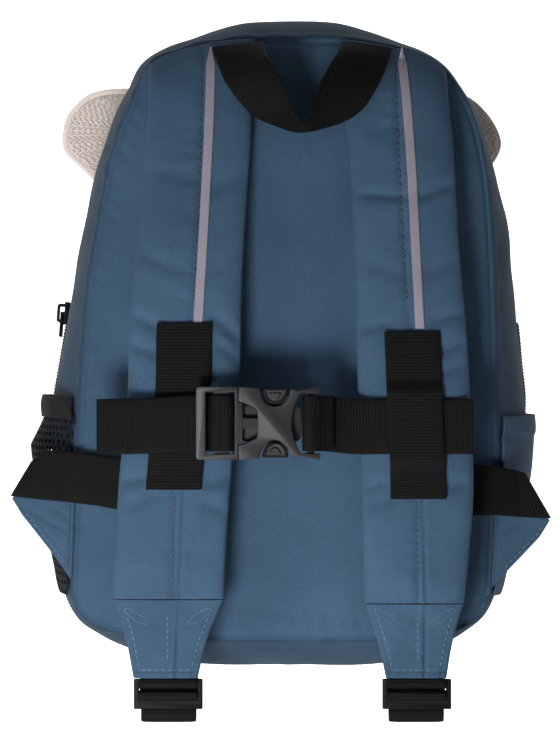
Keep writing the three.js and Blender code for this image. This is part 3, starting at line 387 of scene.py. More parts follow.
# Ribbed polypropylene webbing: ribs run across it at the spacing of its weft, and the warp's fine
# threads show as faint streaks along it. Valleys between ribs are painted darker: painted shade.
def ribbedWebbing(name, dark, light, spacing, roughness):
    material, tree, shader = newMaterial(name, Roughness=roughness, Specular_IOR_Level=0.1)
    place = addNode(tree, "ShaderNodeUVMap", uv_map="cloth")
    split = addNode(tree, "ShaderNodeSeparateXYZ", {0: place.outputs[0]})
    rate = 2 * math.pi / (spacing * mm)
    turn = addNode(tree, "ShaderNodeMath", {0: split.outputs["Y"], 1: rate}, operation="MULTIPLY")
    wave = addNode(tree, "ShaderNodeMath", {0: turn.outputs[0]}, operation="COSINE")
    # The rib wave colours the valleys darker than the crests: painted shade and painted highlight.
    rib = addNode(tree, "ShaderNodeMapRange", {0: wave.outputs[0], 1: 1.0, 2: -1.0, 3: 0.0, 4: 1.0})
    stretch = addNode(
        tree, "ShaderNodeMapping", {"Vector": place.outputs[0], "Scale": (2200.0, 260.0, 1.0)}
    )
    warp = addNode(tree, "ShaderNodeTexNoise", {"Vector": stretch.outputs[0], "Scale": 1.0, "Detail": 2.0})
    both = addNode(
        tree, "ShaderNodeMath", {0: rib.outputs[0], 1: warp.outputs[0]}, operation="MULTIPLY", use_clamp=True
    )
    dress(tree, shader, both.outputs[0], dark, light, warp.outputs[0], 0.35, 0.1)
    return material


# A fine grained finish on Object coordinates, for moulded plastic, tape, thread and net.
def grained(name, dark, light, grain, bumpStrength, **sockets):
    material, tree, shader = newMaterial(name, **sockets)
    body = addNode(tree, "ShaderNodeTexCoord")
    noise = addNode(
        tree,
        "ShaderNodeTexNoise",
        {"Vector": body.outputs["Object"], "Scale": 1000 / grain, "Detail": 3.0, "Roughness": 0.6},
    )
    dress(tree, shader, noise.outputs[0], dark, light, noise.outputs[0], bumpStrength, 0.08)
    return material


# 600-denier polyester, dyed blue-grey and piece-woven: matt, with a faint lozenge weave.
bluePolyester = wovenCloth("blue polyester, woven", "#243648", "#385066", 1.25, 0.85, 0.6, sheen=0.03)
# The gusset's strip of the same cloth, its colours painted darker: painted shade for the sides that turn
# away from the light.
gussetShadedCloth = wovenCloth("blue polyester, woven, painted in shade", "#1d2c3b", "#2e4456", 1.25, 0.85, 0.6, sheen=0.02)
# The same cloth's back and hems, painted a little darker: painted shade on the wings, tabs and pocket.
blueHemShaded = wovenCloth("blue polyester, folded hem, painted shade", "#233547", "#364e63", 1.1, 0.85, 0.55, sheen=0.03)
# Plain-woven polyester in a warm beige: matt, with hardly any pattern.
earCloth = wovenCloth("beige polyester, woven", "#c8bbb4", "#d6cbc5", 1.3, 0.9, 0.08, patch=20, sheen=0.1)
# Polypropylene webbing, woven with ribs: black and slightly silky.
blackWebbing = ribbedWebbing("black polypropylene webbing, ribbed", "#030303", "#100f0f", 1.4, 0.75)
# Polyester binding and zip tape: black, flat and fine.
blackTape = wovenCloth(
    "black polyester tape, woven", "#060607", "#141416", 0.9, 0.85, 0.4, patch=15, sheen=0.0
)
# Acetal, injection moulded: dark grey with a satin skin.
blackAcetal = grained(
    "dark grey acetal, moulded", "#101013", "#18181b", 0.5, 0.25, Roughness=0.48, Specular_IOR_Level=0.33
)
# The same plastic on the adjusters, worn matt and nearly black.
mattAcetal = grained(
    "black acetal, moulded matt", "#030304", "#070708", 0.5, 0.3, Roughness=0.6, Specular_IOR_Level=0.1
)
# Reflective tape, glass beads on cloth: lilac-grey, with a soft grey shine.
reflectiveTape = grained(
    "reflective tape, glass-beaded", "#645f69", "#7e7a84", 0.35, 0.3, Roughness=0.6, Specular_IOR_Level=0.3
)
# Polyester sewing thread, spun: a shade lighter than the cloth it holds.
blueThread = grained("blue polyester thread, spun", "#3a5468", "#5c788e", 0.2, 0.3, Roughness=0.7)
darkThread = grained("navy polyester thread, spun", "#0d1620", "#182634", 0.2, 0.3, Roughness=0.75)
blackThread = grained(
    "black polyester thread, spun", "#0b0b0b", "#1b1b1b", 0.2, 0.3, Roughness=0.9, Specular_IOR_Level=0.1
)
beigeThread = grained("beige polyester thread, spun", "#a89a92", "#c9bdb6", 0.2, 0.3, Roughness=0.75)
# Knitted polyester net: black, matt.
blackNet = grained(
    "black polyester net, knitted", "#08090c", "#171a22", 0.4, 0.4, Roughness=0.9, Specular_IOR_Level=0.15
)
# Nylon coil of a zip: black, with a dull shine.
nylonCoil = grained("black nylon zip coil, extruded", "#121214", "#1f1f22", 0.4, 0.2, Roughness=0.45)
print("stage 2: materials are made")


# The seam round the back panel, read from the panel's rim in the frame and smoothed to even steps,
# clockwise from the top as the back is seen; and the way outward from it.
def readSeam():
    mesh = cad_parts["back_panel"].data
    points = np.zeros(len(mesh.vertices) * 3, np.float32)
    mesh.vertices.foreach_get("co", points)
    points = points.reshape(-1, 3).astype(float) / mm
    rim = np.unique(points[np.abs(points[:, 1]) < 0.02].round(2), axis=0)
    turn = np.arctan2(rim[:, 0], rim[:, 2] + bag["height"] / 2)
    rim = rim[np.argsort(turn)]
    wrapped = np.concatenate([rim[-6:], rim, rim[:7]])
    halfCount = 3000
    line = smoothLine(wrapped, 2 * halfCount)
    away = np.linalg.norm(line - rim[0], axis=1)
    start, end = away[:halfCount].argmin(), away[halfCount:].argmin() + halfCount
    return evenLine(line[start : end + 1], bag["around"] + 1)[:-1]


seam = readSeam()
seamWay = unit(np.roll(seam, -1, 0) - np.roll(seam, 1, 0))
seamOut = np.stack([-seamWay[:, 2], 0 * seamWay[:, 0], seamWay[:, 0]], -1)
seamCentre = np.array([0, 0, -bag["height"] / 2])
seamOut *= np.sign((seamOut * (seam - seamCentre)).sum(1))[:, None]
seamRun = runOf(seam)
upperSeam = seam[seam[:, 2] > -bag["height"] / 4]
upperSeam = upperSeam[np.argsort(upperSeam[:, 0])]


def depthAt(z):
    share = np.clip(-z / bag["height"], 0, 1)
    return bag["depthTop"] + (bag["depthBase"] - bag["depthTop"]) * share


def topSeam(x):
    return np.interp(x, upperSeam[:, 0], upperSeam[:, 2])


# The back panel: rings drawn in from the seam to its middle. Its outer face rises fast inside the seam
# and stays nearly flat, 8 mm x (1 - s^5) at a share s of the way out; small puckers run in from the
# stitched edge.
backPanel = {
    "rise": 8.0,
    "thick": 6.0,
    "edge": 2.5,
    "rings": 70,
    "pucker": 0.55,
    "valley": {"deep": 0.9, "in": 1.2, "wide": 0.9},  # the dip along the stitched edge
    "creases": [
        # x0, z0, x1, z1, depth, width
        (-30, -236, 24, -246, 0.9, 9),
        (-84, -92, -88, -160, 0.8, 5),
        (70, -30, 84, -110, 0.7, 5),
        (-18, -60, -22, -150, 0.5, 8),
        (20, -70, 26, -150, 0.5, 8),
        (-90, -205, -70, -225, 1.0, 5),
        (84, -118, 78, -150, 0.9, 4),
        (-24, -262, 30, -266, 0.8, 4),
    ],
}


def panelGrid(look, outerAt, innerAt):
    half = look["rings"] // 2
    share = np.concatenate([np.linspace(0, 0.9, half), np.linspace(0.9, 1, half)[1:]])
    flat = seamCentre + (seam - seamCentre) * share[:, None, None]
    outer, inner = flat.copy(), flat.copy()
    outer[..., 1] = outerAt(flat, share[:, None])
    inner[..., 1] = innerAt(flat, share[:, None])
    return np.concatenate([outer, inner[::-1]])


# Waves in from the seam, gone after some 9 mm.
def edgePucker(share, seed):
    return waves(seamRun, 11, seed) * bell((1 - share) * bag["reach"] - 4, 4.5)


def makeBackPanel():
    look = backPanel

    def outerAt(flat, share):
        rise = look["rise"] * (1 - share**5)
        sink = creaseDepth(flat[..., 0], flat[..., 2], look["creases"]) * ease(1 - share, 0, 0.06)
        valley = look["valley"]
        stitchValley = valley["deep"] * bell((1 - share) * bag["reach"] - valley["in"], valley["wide"])
        return -(rise - sink + look["pucker"] * edgePucker(share, 3) - stitchValley)

    def innerAt(flat, share):
        return -look["rise"] * (1 - share**5) + look["thick"] + (look["edge"] - look["thick"]) * share**6

    grid = panelGrid(look, outerAt, innerAt)
    obj = closeUp(gridSurface("back_panel_cloth", grid, wrapColumns=True, uv=flatUv(grid)))
    finishPiece(obj, bluePolyester, ["back_panel"])
    return obj


# The front panel: a low dome, 14 mm x (1 - s^3) over the seam's plane, sagging a little towards its base.
frontPanel = {
    "rise": 14.0,
    "rings": 60,
    "sag": 2.5,
    "sagAt": 0.78,  # a share of the height, and how wide it spreads
    "sagWide": 0.16,
    "pucker": 0.5,
    "creases": [
        (-60, -230, -20, -205, 1.6, 8),
        (66, -236, 24, -214, 1.4, 9),
        (-40, -60, -52, -110, 1.0, 10),
        (44, -52, 56, -120, 1.0, 9),
        (-12, -252, 30, -256, 1.2, 6),
    ],
}


def makeFrontPanel():
    look = frontPanel

    def outerAt(flat, share):
        z = flat[..., 2]
        rise = look["rise"] * (1 - share**3)
        sag = look["sag"] * bell(-z / bag["height"] - look["sagAt"], look["sagWide"]) * (1 - share**2)
        sink = creaseDepth(flat[..., 0], z, look["creases"]) * ease(1 - share, 0, 0.08)
        return depthAt(z) + rise + sag - sink + look["pucker"] * edgePucker(share, 8)

    grid = panelGrid(look, outerAt, outerAt)[: look["rings"] // 2 * 2 - 1, ::-1]
    obj = closeUp(gridSurface("front_panel_cloth", grid, wrapColumns=True, uv=flatUv(grid)), False)
    thicken(obj, bag["cloth"])
    finishPiece(obj, bluePolyester, ["front_panel"])
    return obj


# The gusset: from each step of the seam it bulges outward by b x (1 - |2t - 1|^2.4) at a share t of the
# depth, b being set for each height and side. It dips under the zip, puckers at both seams, and is flat
# where it stands.
gusset = {
    "across": 90,
    "pucker": 0.8,
    "lip": 1.1,
    "lipIn": 2.2,
    "lipWide": 1.5,
    "roll": 0.7,  # broad waves over the whole cloth
    "rollLength": 46,
    "zipShare": 0.55,
    "zipEnds": 130.0,  # how far down the zip runs on both sides
    "zipDip": 1.6,
    "zipHalf": 9.5,
    "bulgeRows": tableOf("at left right", [
        (0.0, 0.78, 0.76),
        (0.003, 0.6, 0.62),
        (0.01, 0.54, 0.53),
        (0.02, 0.42, 0.38),
        (0.035, 0.36, 0.29),
        (0.05, 0.32, 0.27),
        (0.08, 0.4, 0.27),
        (0.12, 0.5, 0.3),
        (0.2, 0.51, 0.44),
        (0.3, 0.57, 0.67),
        (0.4, 0.61, 0.8),
        (0.5, 0.78, 0.92),
        (0.6, 0.95, 1.07),
        (0.7, 0.92, 1.1),
        (0.85, 0.64, 0.62),
        (0.9, 0.5, 0.46),
        (0.94, 0.45, 0.35),
        (0.967, 0.4, 0.3),
        (0.98, 0.48, 0.36),
        (0.99, 0.72, 0.68),
        (1.0, 1.06, 1.06),
    ]),
}


def tableAt(rows, at, name):
    return np.interp(at, [row["at"] for row in rows], [row[name] for row in rows])


onRight = np.clip(0.5 + seam[:, 0] / bag["halfWidth"], 0, 1)
bulges = {side: tableAt(gusset["bulgeRows"], -seam[:, 2] / bag["height"], side) for side in sides}
seamBulge = bag["sideBulge"] * (bulges["left"] * (1 - onRight) + bulges["right"] * onRight)
smoothing = np.hanning(15) / np.hanning(15).sum()
seamBulge = np.convolve(np.concatenate([seamBulge[-7:], seamBulge, seamBulge[:7]]), smoothing, "valid")


# A point of the gusset's outer face at a seam step k (it may lie between two) and a share t of the
# depth, lifted.
def gussetAt(k, t, lift=0.0):
    k, t = np.broadcast_arrays(np.asarray(k, float), np.asarray(t, float))
    steps = np.arange(-1, bag["around"] + 1)
    at = lambda values: np.interp(k, steps, np.concatenate([values[-1:], values, values[:1]]))
    edge = np.stack([at(seam[:, n]) for n in range(3)], -1)
    out = unit(np.stack([at(seamOut[:, n]) for n in range(3)], -1))
    bulge, depth, run = at(seamBulge), depthAt(edge[..., 2]), at(seamRun)
    reach = bag["seamGap"] + bulge * (1 - np.abs(2 * t - 1) ** bag["bulgePower"])
    fromEdge = np.minimum(t, 1 - t) * depth
    onZip = ease(edge[..., 2], -gusset["zipEnds"] - 1, -gusset["zipEnds"] + 1)
    dip = ease(-np.abs((t - gusset["zipShare"]) * depth), -gusset["zipHalf"] - 0.5, -gusset["zipHalf"] + 0.5)
    reach = reach - gusset["zipDip"] * onZip * dip
    nearSeam = bell(fromEdge - 4, 5) * ease(fromEdge, 0, 3)
    reach = reach + gusset["pucker"] * waves(run, 13, 21) * nearSeam
    broad = gusset["roll"] * waves(run + 0.6 * t * depth, gusset["rollLength"], 5)
    reach = reach + broad * ease(fromEdge, 4, 22)
    point = edge + out * (reach + lift)[..., None]
    # A lip of turned-in cloth stands up beside each seam, so that the seam lies in a valley
    lip = gusset["lip"] * bell(fromEdge - gusset["lipIn"], gusset["lipWide"])
    point[..., 1] = t * depth + lip * np.where(t < 0.5, -1, 1)
    point[..., 2] = np.maximum(point[..., 2], bag["floorZ"] - lift)
    return point


# The seam step at a depth below the origin on one side
def stepAtHeight(side, down):
    k = np.arange(bag["around"])
    keep = (seam[:, 0] * sides[side] > 60) & (seam[:, 2] < -30)
    order = np.argsort(-seam[keep, 2])
    return np.interp(down, -seam[keep, 2][order], k[keep][order])


def makeGusset():
    k = np.arange(bag["around"])[:, None]
    t = np.linspace(0, 1, gusset["across"])[None, :]
    grid = gussetAt(k, t)
    obj = closeUp(gridSurface("gusset_cloth", grid[:, ::-1], wrapRows=True), False)
    thicken(obj, bag["cloth"])
    # The gusset's cloth is painted darker than the panels' cloth: painted shade.
    finishPiece(obj, gussetShadedCloth, ["gusset"])
    return obj


# The zip: two tapes in the gusset's dip, and a coil whose ridge rises and falls with each turn of the
# nylon.
zipLook = {
    "tapeHalf": 9.0,
    "tapeThick": 0.45,
    "tapeLift": 0.35,
    "coilHalf": 2.3,
    "coilHigh": 1.3,
    "coilLift": 0.6,
    "turn": 1.6,
    "turnDeep": 0.22,
}


def makeZip():
    first, last = (stepAtHeight(side, gusset["zipEnds"] - 2) for side in ("left", "right"))
    first, last = (first - bag["around"], last) if first > last else (last - bag["around"], first)
    k = np.linspace(first, last, 1400)
    wrap = lambda steps: np.mod(steps, bag["around"])
    middle = gussetAt(wrap(k), gusset["zipShare"])
    depth = depthAt(middle[:, 2])
    run = runOf(middle)
    shift = np.linspace(-1, 1, 13) * zipLook["tapeHalf"]
    few = slice(None, None, 5)
    t = gusset["zipShare"] + shift[None, :] / depth[few, None]
    lift = zipLook["tapeLift"] + 0.25 * np.cos(shift / zipLook["tapeHalf"] * np.pi)
    tape = gussetAt(wrap(k[few])[:, None], t, lift[None, :])
    tapeObj = closeUp(gridSurface("zip_tape", tape[:, ::-1]), False)
    thicken(tapeObj, zipLook["tapeThick"])
    finishPiece(tapeObj, blackTape, ["zip_coil"])

    angle = np.linspace(0, np.pi, 9)
    ridge = 1 + zipLook["turnDeep"] * np.cos(2 * np.pi * run / zipLook["turn"])[:, None]
    across = np.cos(angle)[None, :] * zipLook["coilHalf"] * (0.85 + 0.15 * ridge)
    high = zipLook["coilLift"] + np.sin(angle)[None, :] * zipLook["coilHigh"] * ridge
    coil = gussetAt(wrap(k)[:, None], gusset["zipShare"] + across / depth[:, None], high)
    coilObj = closeUp(gridSurface("zip_coil_ridge", coil), False)
    finishPiece(coilObj, nylonCoil)
    return tapeObj, coilObj


makeBackPanel()
makeFrontPanel()
makeGusset()
makeZip()
print("stage 3: the bag's body is made")


# Padded shoulder straps: at a share of the way down, a section lies across a centre line. Its middle is
# flat and its edges are round, which is a superellipse of unequal powers. Columns are shares, as in the
# frame's own solids.
strap = {
    "width": 50.0,
    "thick": 10.0,
    "standoff": 21.0,
    "slantLength": 0.17,
    "steps": 300,
    "around": 108,
    "edgePowers": (0.55, 0.8),
    "creaseShare": 1.7,  # the creases' depths are drawn this much deeper
    "stitchDip": (0.8, 1.4),  # depth and width in mm, as for the next two
    "seamDip": (1.3, 0.6),
    "seamRidge": (0.6, 0.8),
    "ridgeOff": 1.5,
    "seamFrom": 200,  # how far down the seam shows, below the tape
}
strapRows = {
    "left": tableOf("at centre width out thick", [
        (0.0, -0.44, 0.98, 0.03, 0.25),
        (0.03, -0.442, 0.955, 0.16, 0.6),
        (0.07, -0.443, 0.945, 0.27, 0.88),
        (0.11, -0.444, 0.944, 0.35, 0.98),
        (0.17, -0.45, 0.95, 0.46, 1.0),
        (0.25, -0.466, 0.957, 0.6, 0.98),
        (0.33, -0.484, 0.968, 0.7, 1.0),
        (0.41, -0.501, 0.99, 0.8, 1.0),
        (0.49, -0.513, 1.018, 0.88, 0.97),
        (0.57, -0.516, 1.008, 0.93, 1.0),
        (0.64, -0.53, 1.006, 0.96, 1.0),
        (0.7, -0.551, 1.006, 0.98, 1.0),
        (0.77, -0.566, 1.006, 1.0, 1.0),
        (0.84, -0.579, 1.004, 1.0, 0.98),
        (0.9, -0.587, 1.004, 1.0, 0.92),
        (0.923, -0.588, 1.0, 1.02, 0.8),
    ]),
    "right": tableOf("at centre width out thick", [
        (0.0, 0.472, 0.98, 0.03, 0.25),
        (0.03, 0.475, 0.975, 0.16, 0.6),
        (0.07, 0.478, 0.972, 0.27, 0.88),
        (0.11, 0.482, 0.974, 0.35, 0.98),
        (0.17, 0.497, 0.966, 0.46, 1.0),
        (0.25, 0.513, 0.95, 0.6, 0.97),
        (0.33, 0.523, 0.95, 0.7, 1.0),
        (0.41, 0.536, 0.965, 0.8, 1.0),
        (0.49, 0.548, 0.995, 0.88, 1.0),
        (0.57, 0.557, 1.008, 0.93, 1.0),
        (0.64, 0.564, 1.012, 0.96, 1.0),
        (0.7, 0.573, 1.016, 0.98, 1.0),
        (0.77, 0.576, 1.0, 1.0, 1.0),
        (0.84, 0.569, 0.965, 1.0, 0.98),
        (0.91, 0.561, 0.92, 1.0, 0.92),
        (0.93, 0.56, 0.9, 1.02, 0.8),
    ]),
}
tabRows = {
    "left": tableOf("at centre width out thick", [
        (0.9245, -0.588, 0.996, 1.04, 0.72),
        (0.945, -0.59, 0.9, 1.06, 0.6),
        (0.99, -0.597, 0.73, 1.1, 0.5),
        (1.052, -0.601, 0.58, 1.14, 0.44),
    ]),
    "right": tableOf("at centre width out thick", [
        (0.9315, 0.56, 0.896, 1.04, 0.72),
        (0.95, 0.561, 0.82, 1.06, 0.6),
        (0.995, 0.565, 0.67, 1.1, 0.5),
        (1.052, 0.569, 0.545, 1.14, 0.44),
    ]),
}
# On each strap, in mm: the seam and the stitched line beside it as x, z points from the top, where the
# seam has the reflective tape in it, and the creases as x0, z0, x1, z1, depth, width.
strapMarks = {
    "left": {
        "seam": [
            (-37.2, -8), (-38.5, -60), (-41.5, -122), (-43.5, -140),
            (-49.8, -209), (-51.6, -256), (-53.4, -292),
        ],
        "stitched": [
            (-41.8, -8), (-42.5, -60), (-45.4, -122), (-47.4, -140),
            (-53.8, -209), (-54.8, -256), (-57.0, -292),
        ],
        "tape": [
            (-38.2, -4.5), (-38.0, -11), (-38.3, -30), (-38.9, -48),
            (-39.8, -66), (-41.2, -94), (-43.4, -131.5),
        ],
        "creases": [
            (-66, -62, -42, -66, 0.55, 4.0),
            (-38, -72, -18, -60, 0.6, 4.5),
            (-70, -100, -50, -108, 0.6, 4.0),
            (-37, -108, -20, -96, 0.5, 3.5),
            (-72, -128, -58, -135, 0.9, 3.0),
            (-74, -141, -60, -146, 0.8, 3.0),
            (-36, -128, -24, -140, 0.9, 3.2),
            (-35, -141, -22, -150, 0.8, 3.0),
            (-78, -203, -66, -200, 0.8, 3.0),
            (-40, -204, -27, -200, 0.8, 3.2),
            (-74, -214, -62, -208, 0.7, 3.4),
            (-42, -212, -30, -216, 0.7, 3.2),
        ],
    },
    "right": {
        "seam": [
            (52.0, -8), (53.5, -60), (57.0, -122), (58.0, -140),
            (57.6, -211), (59.0, -256), (58.5, -292),
        ],
        "stitched": [
            (46.0, -8), (47.5, -60), (50.6, -122), (54.0, -140),
            (55.2, -211), (55.4, -256), (55.6, -292),
        ],
        "tape": [
            (49.3, -4.8), (49.4, -11), (51.0, -30), (52.2, -48),
            (53.3, -66), (54.5, -94), (56.5, -134),
        ],
        "creases": [
            (29, -73, 50, -74, 0.9, 2.4),
            (55, -75, 72, -68, 1.0, 2.6),
            (34, -45, 50, -40, 0.4, 4.0),
            (33, -104, 50, -110, 0.5, 4.0),
            (58, -110, 76, -102, 0.6, 3.5),
            (62, -131, 78, -126, 0.9, 2.8),
            (60, -147, 78, -139, 1.0, 2.8),
            (62, -157, 76, -150, 0.8, 2.4),
            (30, -134, 44, -131, 0.7, 3.0),
            (30, -206, 42, -203, 0.8, 3.0),
            (66, -206, 77, -203, 0.8, 3.0),
            (34, -214, 46, -209, 0.7, 3.2),
        ],
    },
}


def strapFront(rows, at):
    return column(rows, at, "out") * strap["standoff"] + column(rows, at, "thick") * strap["thick"]


def lineX(points, z):
    points = np.array(points)[::-1]
    return np.interp(z, points[:, 1], points[:, 0])


# The strap's or its end's sections; sink lowers the outer face by a depth in mm worked out from x and z.
def padGrid(rows, at, around, sink):
    angle = np.linspace(0, 2 * np.pi, 800)
    wide, high = roundedBox(angle, *strap["edgePowers"])
    section = np.stack([wide * strap["width"] / 2, high * strap["thick"] / 2], -1)
    section = evenLine(section, around + 1)[:-1] / [strap["width"] / 2, strap["thick"] / 2]
    names = ("centre", "width", "out", "thick")
    centre, width, out, thick = (column(rows, at, name)[:, None] for name in names)
    x = centre * bag["halfWidth"] + width * strap["width"] / 2 * section[:, 0]
    slant = np.maximum(1 - at[:, None] / strap["slantLength"], 0)
    z = -at[:, None] * bag["height"] + slant * (topSeam(x) - bag["seamGap"])
    y = -(out * strap["standoff"] + thick * strap["thick"] / 2 * (1 + section[:, 1]))
    y = y + sink(x, z) * ease(section[:, 1], -0.1, 0.7)
    return np.stack([x, y, z], -1)


def strapSink(side):
    marks = strapMarks[side]

    def sink(x, z):
        seamOff = x - lineX(marks["seam"], z)
        stitchOff = x - lineX(marks["stitched"], z)
        onSeam = ease(-z, strap["seamFrom"], strap["seamFrom"] + 4)
        stitch, dip, ridge = (strap[name] for name in ("stitchDip", "seamDip", "seamRidge"))
        depth = strap["creaseShare"] * creaseDepth(x, z, marks["creases"])
        depth += stitch[0] * bell(stitchOff, stitch[1])
        seamDepth = dip[0] * bell(seamOff, dip[1]) - ridge[0] * bell(seamOff + strap["ridgeOff"], ridge[1])
        depth += onSeam * seamDepth
        puckers = waves(z, 7.5, 11 + sides[side]) * bell(np.abs(stitchOff) - 3.5, 3)
        soft = waves(z + 0.5 * x, 30, 31 + sides[side]) * 0.35
        return depth + 0.4 * puckers + soft

    return sink


# Blows a tube of cloth up: a coarse grid of it runs as cloth with pressure, held where still is one,
# and each point moves by no more than the cap. The moves are carried over to the fine grid.
puffing = {"force": 4.0, "frames": 16, "cap": 2.2, "rows": 100, "around": 36}


def puffMoves(name, grid, still):
    rows, around = grid.shape[:2]
    quads = gridFaces(rows, around, wrapColumns=True)[1]
    obj = closeUp(makeMesh(name, grid.reshape(-1, 3), quads), near=0)
    held = obj.vertex_groups.new(name="held")
    weight = still.reshape(-1)
    for level in (0.5, 1.0):
        held.add([int(n) for n in np.nonzero(weight >= level)[0]], level, "REPLACE")
    cloth = obj.modifiers.new("pressure", "CLOTH")
    look = cloth.settings
    look.vertex_group_mass = "held"
    look.quality = 6
    look.mass = 0.2
    look.tension_stiffness = look.compression_stiffness = 20
    look.shear_stiffness = 8
    look.bending_stiffness = 1.0
    look.use_pressure = True
    look.uniform_pressure_force = puffing["force"]
    look.effector_weights.gravity = 0
    cloth.collision_settings.use_collision = False
    cloth.point_cache.frame_start, cloth.point_cache.frame_end = 1, puffing["frames"]
    for step in range(1, puffing["frames"] + 1):
        scene.frame_set(step)
    blown = obj.evaluated_get(bpy.context.evaluated_depsgraph_get())
    places = np.empty(rows * around * 3)
    blown.data.vertices.foreach_get("co", places)
    scene.frame_set(1)
    bpy.data.objects.remove(obj)
    moves = places.reshape(rows, around, 3) / mm - grid
    size = np.linalg.norm(moves, axis=-1, keepdims=True)
    print(f"{name}: cloth moved by up to {size.max():.2f} mm, {size.mean():.2f} mm on average")
    capped = puffing["cap"] * np.tanh(size / puffing["cap"]) / np.maximum(size, 1e-6)
    return moves * capped * (1 - still[..., None])


# Spreads moves known on a coarse grid, closed round its columns, over a finer one
def spreadMoves(moves, rows, around):
    closed = np.concatenate([moves, moves[:, :1]], 1)
    r, c = np.linspace(0, moves.shape[0] - 1, rows), np.linspace(0, moves.shape[1], around + 1)[:-1]
    byRow = np.stack([
        (1 - r % 1)[:, None] * closed[np.minimum(r.astype(int), len(closed) - 1), :, n]
        + (r % 1)[:, None] * closed[np.minimum(r.astype(int) + 1, len(closed) - 1), :, n]
        for n in range(3)
    ], -1)
    low, part = c.astype(int), (c % 1)[None, :, None]
    return byRow[:, low] * (1 - part) + byRow[:, np.minimum(low + 1, closed.shape[1] - 1)] * part


def makeStrap(side):
    rows = strapRows[side]
    at = np.linspace(rows[0]["at"], rows[-1]["at"], strap["steps"])
    grid = padGrid(rows, at, strap["around"], strapSink(side))
    coarseAt = np.linspace(rows[0]["at"], rows[-1]["at"], puffing["rows"])
    coarse = padGrid(rows, coarseAt, puffing["around"], lambda x, z: 0 * x)
    x, z = coarse[..., 0], coarse[..., 2]
    centre = column(rows, coarseAt, "centre")[:, None] * bag["halfWidth"]
    middleY = coarse[..., 1].mean(axis=1, keepdims=True)
    start, end = webbingSpan[side]
    share = coarseAt[:, None]
    sewn = (share > start - 0.01) & (share < end + 0.01) & (np.abs(x - centre) < 13.5)
    quilted = np.abs(x - lineX(strapMarks[side]["stitched"], z)) < 1.2
    back = coarse[..., 1] > middleY - 0.5
    ends = (share < rows[0]["at"] + 0.02) | (share > rows[-1]["at"] - 0.012)
    still = (sewn | quilted | back | ends).astype(float)
    moves = puffMoves(f"strap_{side}_cloth", coarse, still)
    grid = grid + spreadMoves(moves, strap["steps"], strap["around"])
    obj = closedTube(f"shoulder_strap_{side}_cloth", grid)
    finishPiece(obj, bluePolyester, [f"shoulder_strap_{side}"])
    return obj


# The tapered end sewn under each strap: two layers turned in at the edges, thickest along the hem.
def makeTab(side):
    rows, marks = tabRows[side], strapMarks[side]
    at = np.linspace(rows[0]["at"], rows[-1]["at"], 90)

    def sink(x, z):
        share = np.clip(-z / bag["height"], rows[0]["at"], rows[-1]["at"])
        centre = column(rows, share, "centre") * bag["halfWidth"]
        fromEdge = column(rows, share, "width") * strap["width"] / 2 - np.abs(x - centre)
        fromEnd = (rows[-1]["at"] - share) * bag["height"]
        seamOff = x - lineX(marks["seam"], z)
        depth = 0.5 * bell(fromEdge - 2.6, 0.8) + 0.45 * bell(fromEnd - 3.2, 0.8)
        depth += 1.1 * bell(seamOff, 0.55) - 0.5 * bell(seamOff + 1.5, 0.8)
        return depth + 0.25 * waves(z + 0.7 * x, 11, 51 + sides[side])

    grid = padGrid(rows, at, 84, sink)
    obj = closedTube(f"strap_tab_{side}_cloth", grid)
    finishPiece(obj, blueHemShaded, [f"strap_tab_{side}"])
    return obj


# Webbing: a flat oval section between two edge lines. Its faces swell by half a wave for each rib along
# its run.
webbing = {
    "width": 25.0,
    "thick": 1.2,
    "powers": (0.35, 0.6),
    "rib": 0.16,
    "ribStep": 1.4,
    "perRib": 5,
    "around": 30,
}


def band(name, edges, material=None, thick=None, rib=None):
    edges = np.asarray(edges, float)
    thick = webbing["thick"] if thick is None else thick
    middle = (edges[:, :3] + edges[:, 3:]) / 2
    run = runOf(middle)
    count = max(int(run[-1] / webbing["ribStep"] * webbing["perRib"]), 8)
    even = np.linspace(0, run[-1], count)
    edges = np.stack([np.interp(even, run, edges[:, n]) for n in range(6)], -1)
    first, last = edges[:, :3], edges[:, 3:]
    middle, half = (first + last) / 2, np.linalg.norm(last - first, axis=1) / 2
    along, across = unit(np.gradient(middle, axis=0)), unit(last - first)
    out = unit(np.cross(across, along))
    angle = np.linspace(0, 2 * np.pi, webbing["around"], endpoint=False)
    wide, high = roundedBox(angle, *webbing["powers"])
    rib = webbing["rib"] if rib is None else rib
    deep = thick / 2 + rib * (0.5 - 0.5 * np.cos(2 * np.pi * even / webbing["ribStep"]))
    grid = (
        middle[:, None]
        + across[:, None] * (half[:, None] * wide)[..., None]
        + out[:, None] * (deep[:, None] * high)[..., None]
    )
    turns = np.append(wide, wide[0])
    uv = np.stack(np.broadcast_arrays(half[:, None] * turns, even[:, None]), -1) * mm
    obj = closedTube(name, grid, uv)
    obj.data.materials.append(blackWebbing if material is None else material)
    return obj


def finishBand(obj, nodes=()):
    material = obj.data.materials[0]
    return finishPiece(obj, material, nodes)


# Where the two chest straps and the strap webbings lie, one over the other.
chest = {
    "down": 178.0,
    "rise": 1.6,       # the buckle sits this much above the straps' line
    "rest": 31.49,     # how far out the right chest strap lies
    "back": 33.39,     # the left strap's inner strand
    "front": 35.19,    # and its outer one
    "bar": 40.09,      # the front of the buckle's bars
    "buckleLeft": -43.81,
    "layer": 1.7,
}
webbingSpan = {"left": (0.475, 0.745), "right": (0.489, 0.76)}


def makeStrapWebbing(side):
    rows = strapRows[side]
    at = np.linspace(*webbingSpan[side], 160)
    centre = column(rows, at, "centre") * bag["halfWidth"]
    out = strapFront(rows, at) + 1.0
    if side == "right":
        over = ease(at, 0.567, 0.589) * ease(-at, -0.718, -0.696)
        out = out + over * np.maximum(chest["rest"] + chest["layer"] - out, 0)
    z = -at * bag["height"]
    half = webbing["width"] / 2
    edges = np.stack([centre - half, -out, z, centre + half, -out, z], -1)
    obj = band(f"strap_webbing_{side}_ribbed", edges)
    return finishBand(obj, [f"strap_webbing_{side}"])


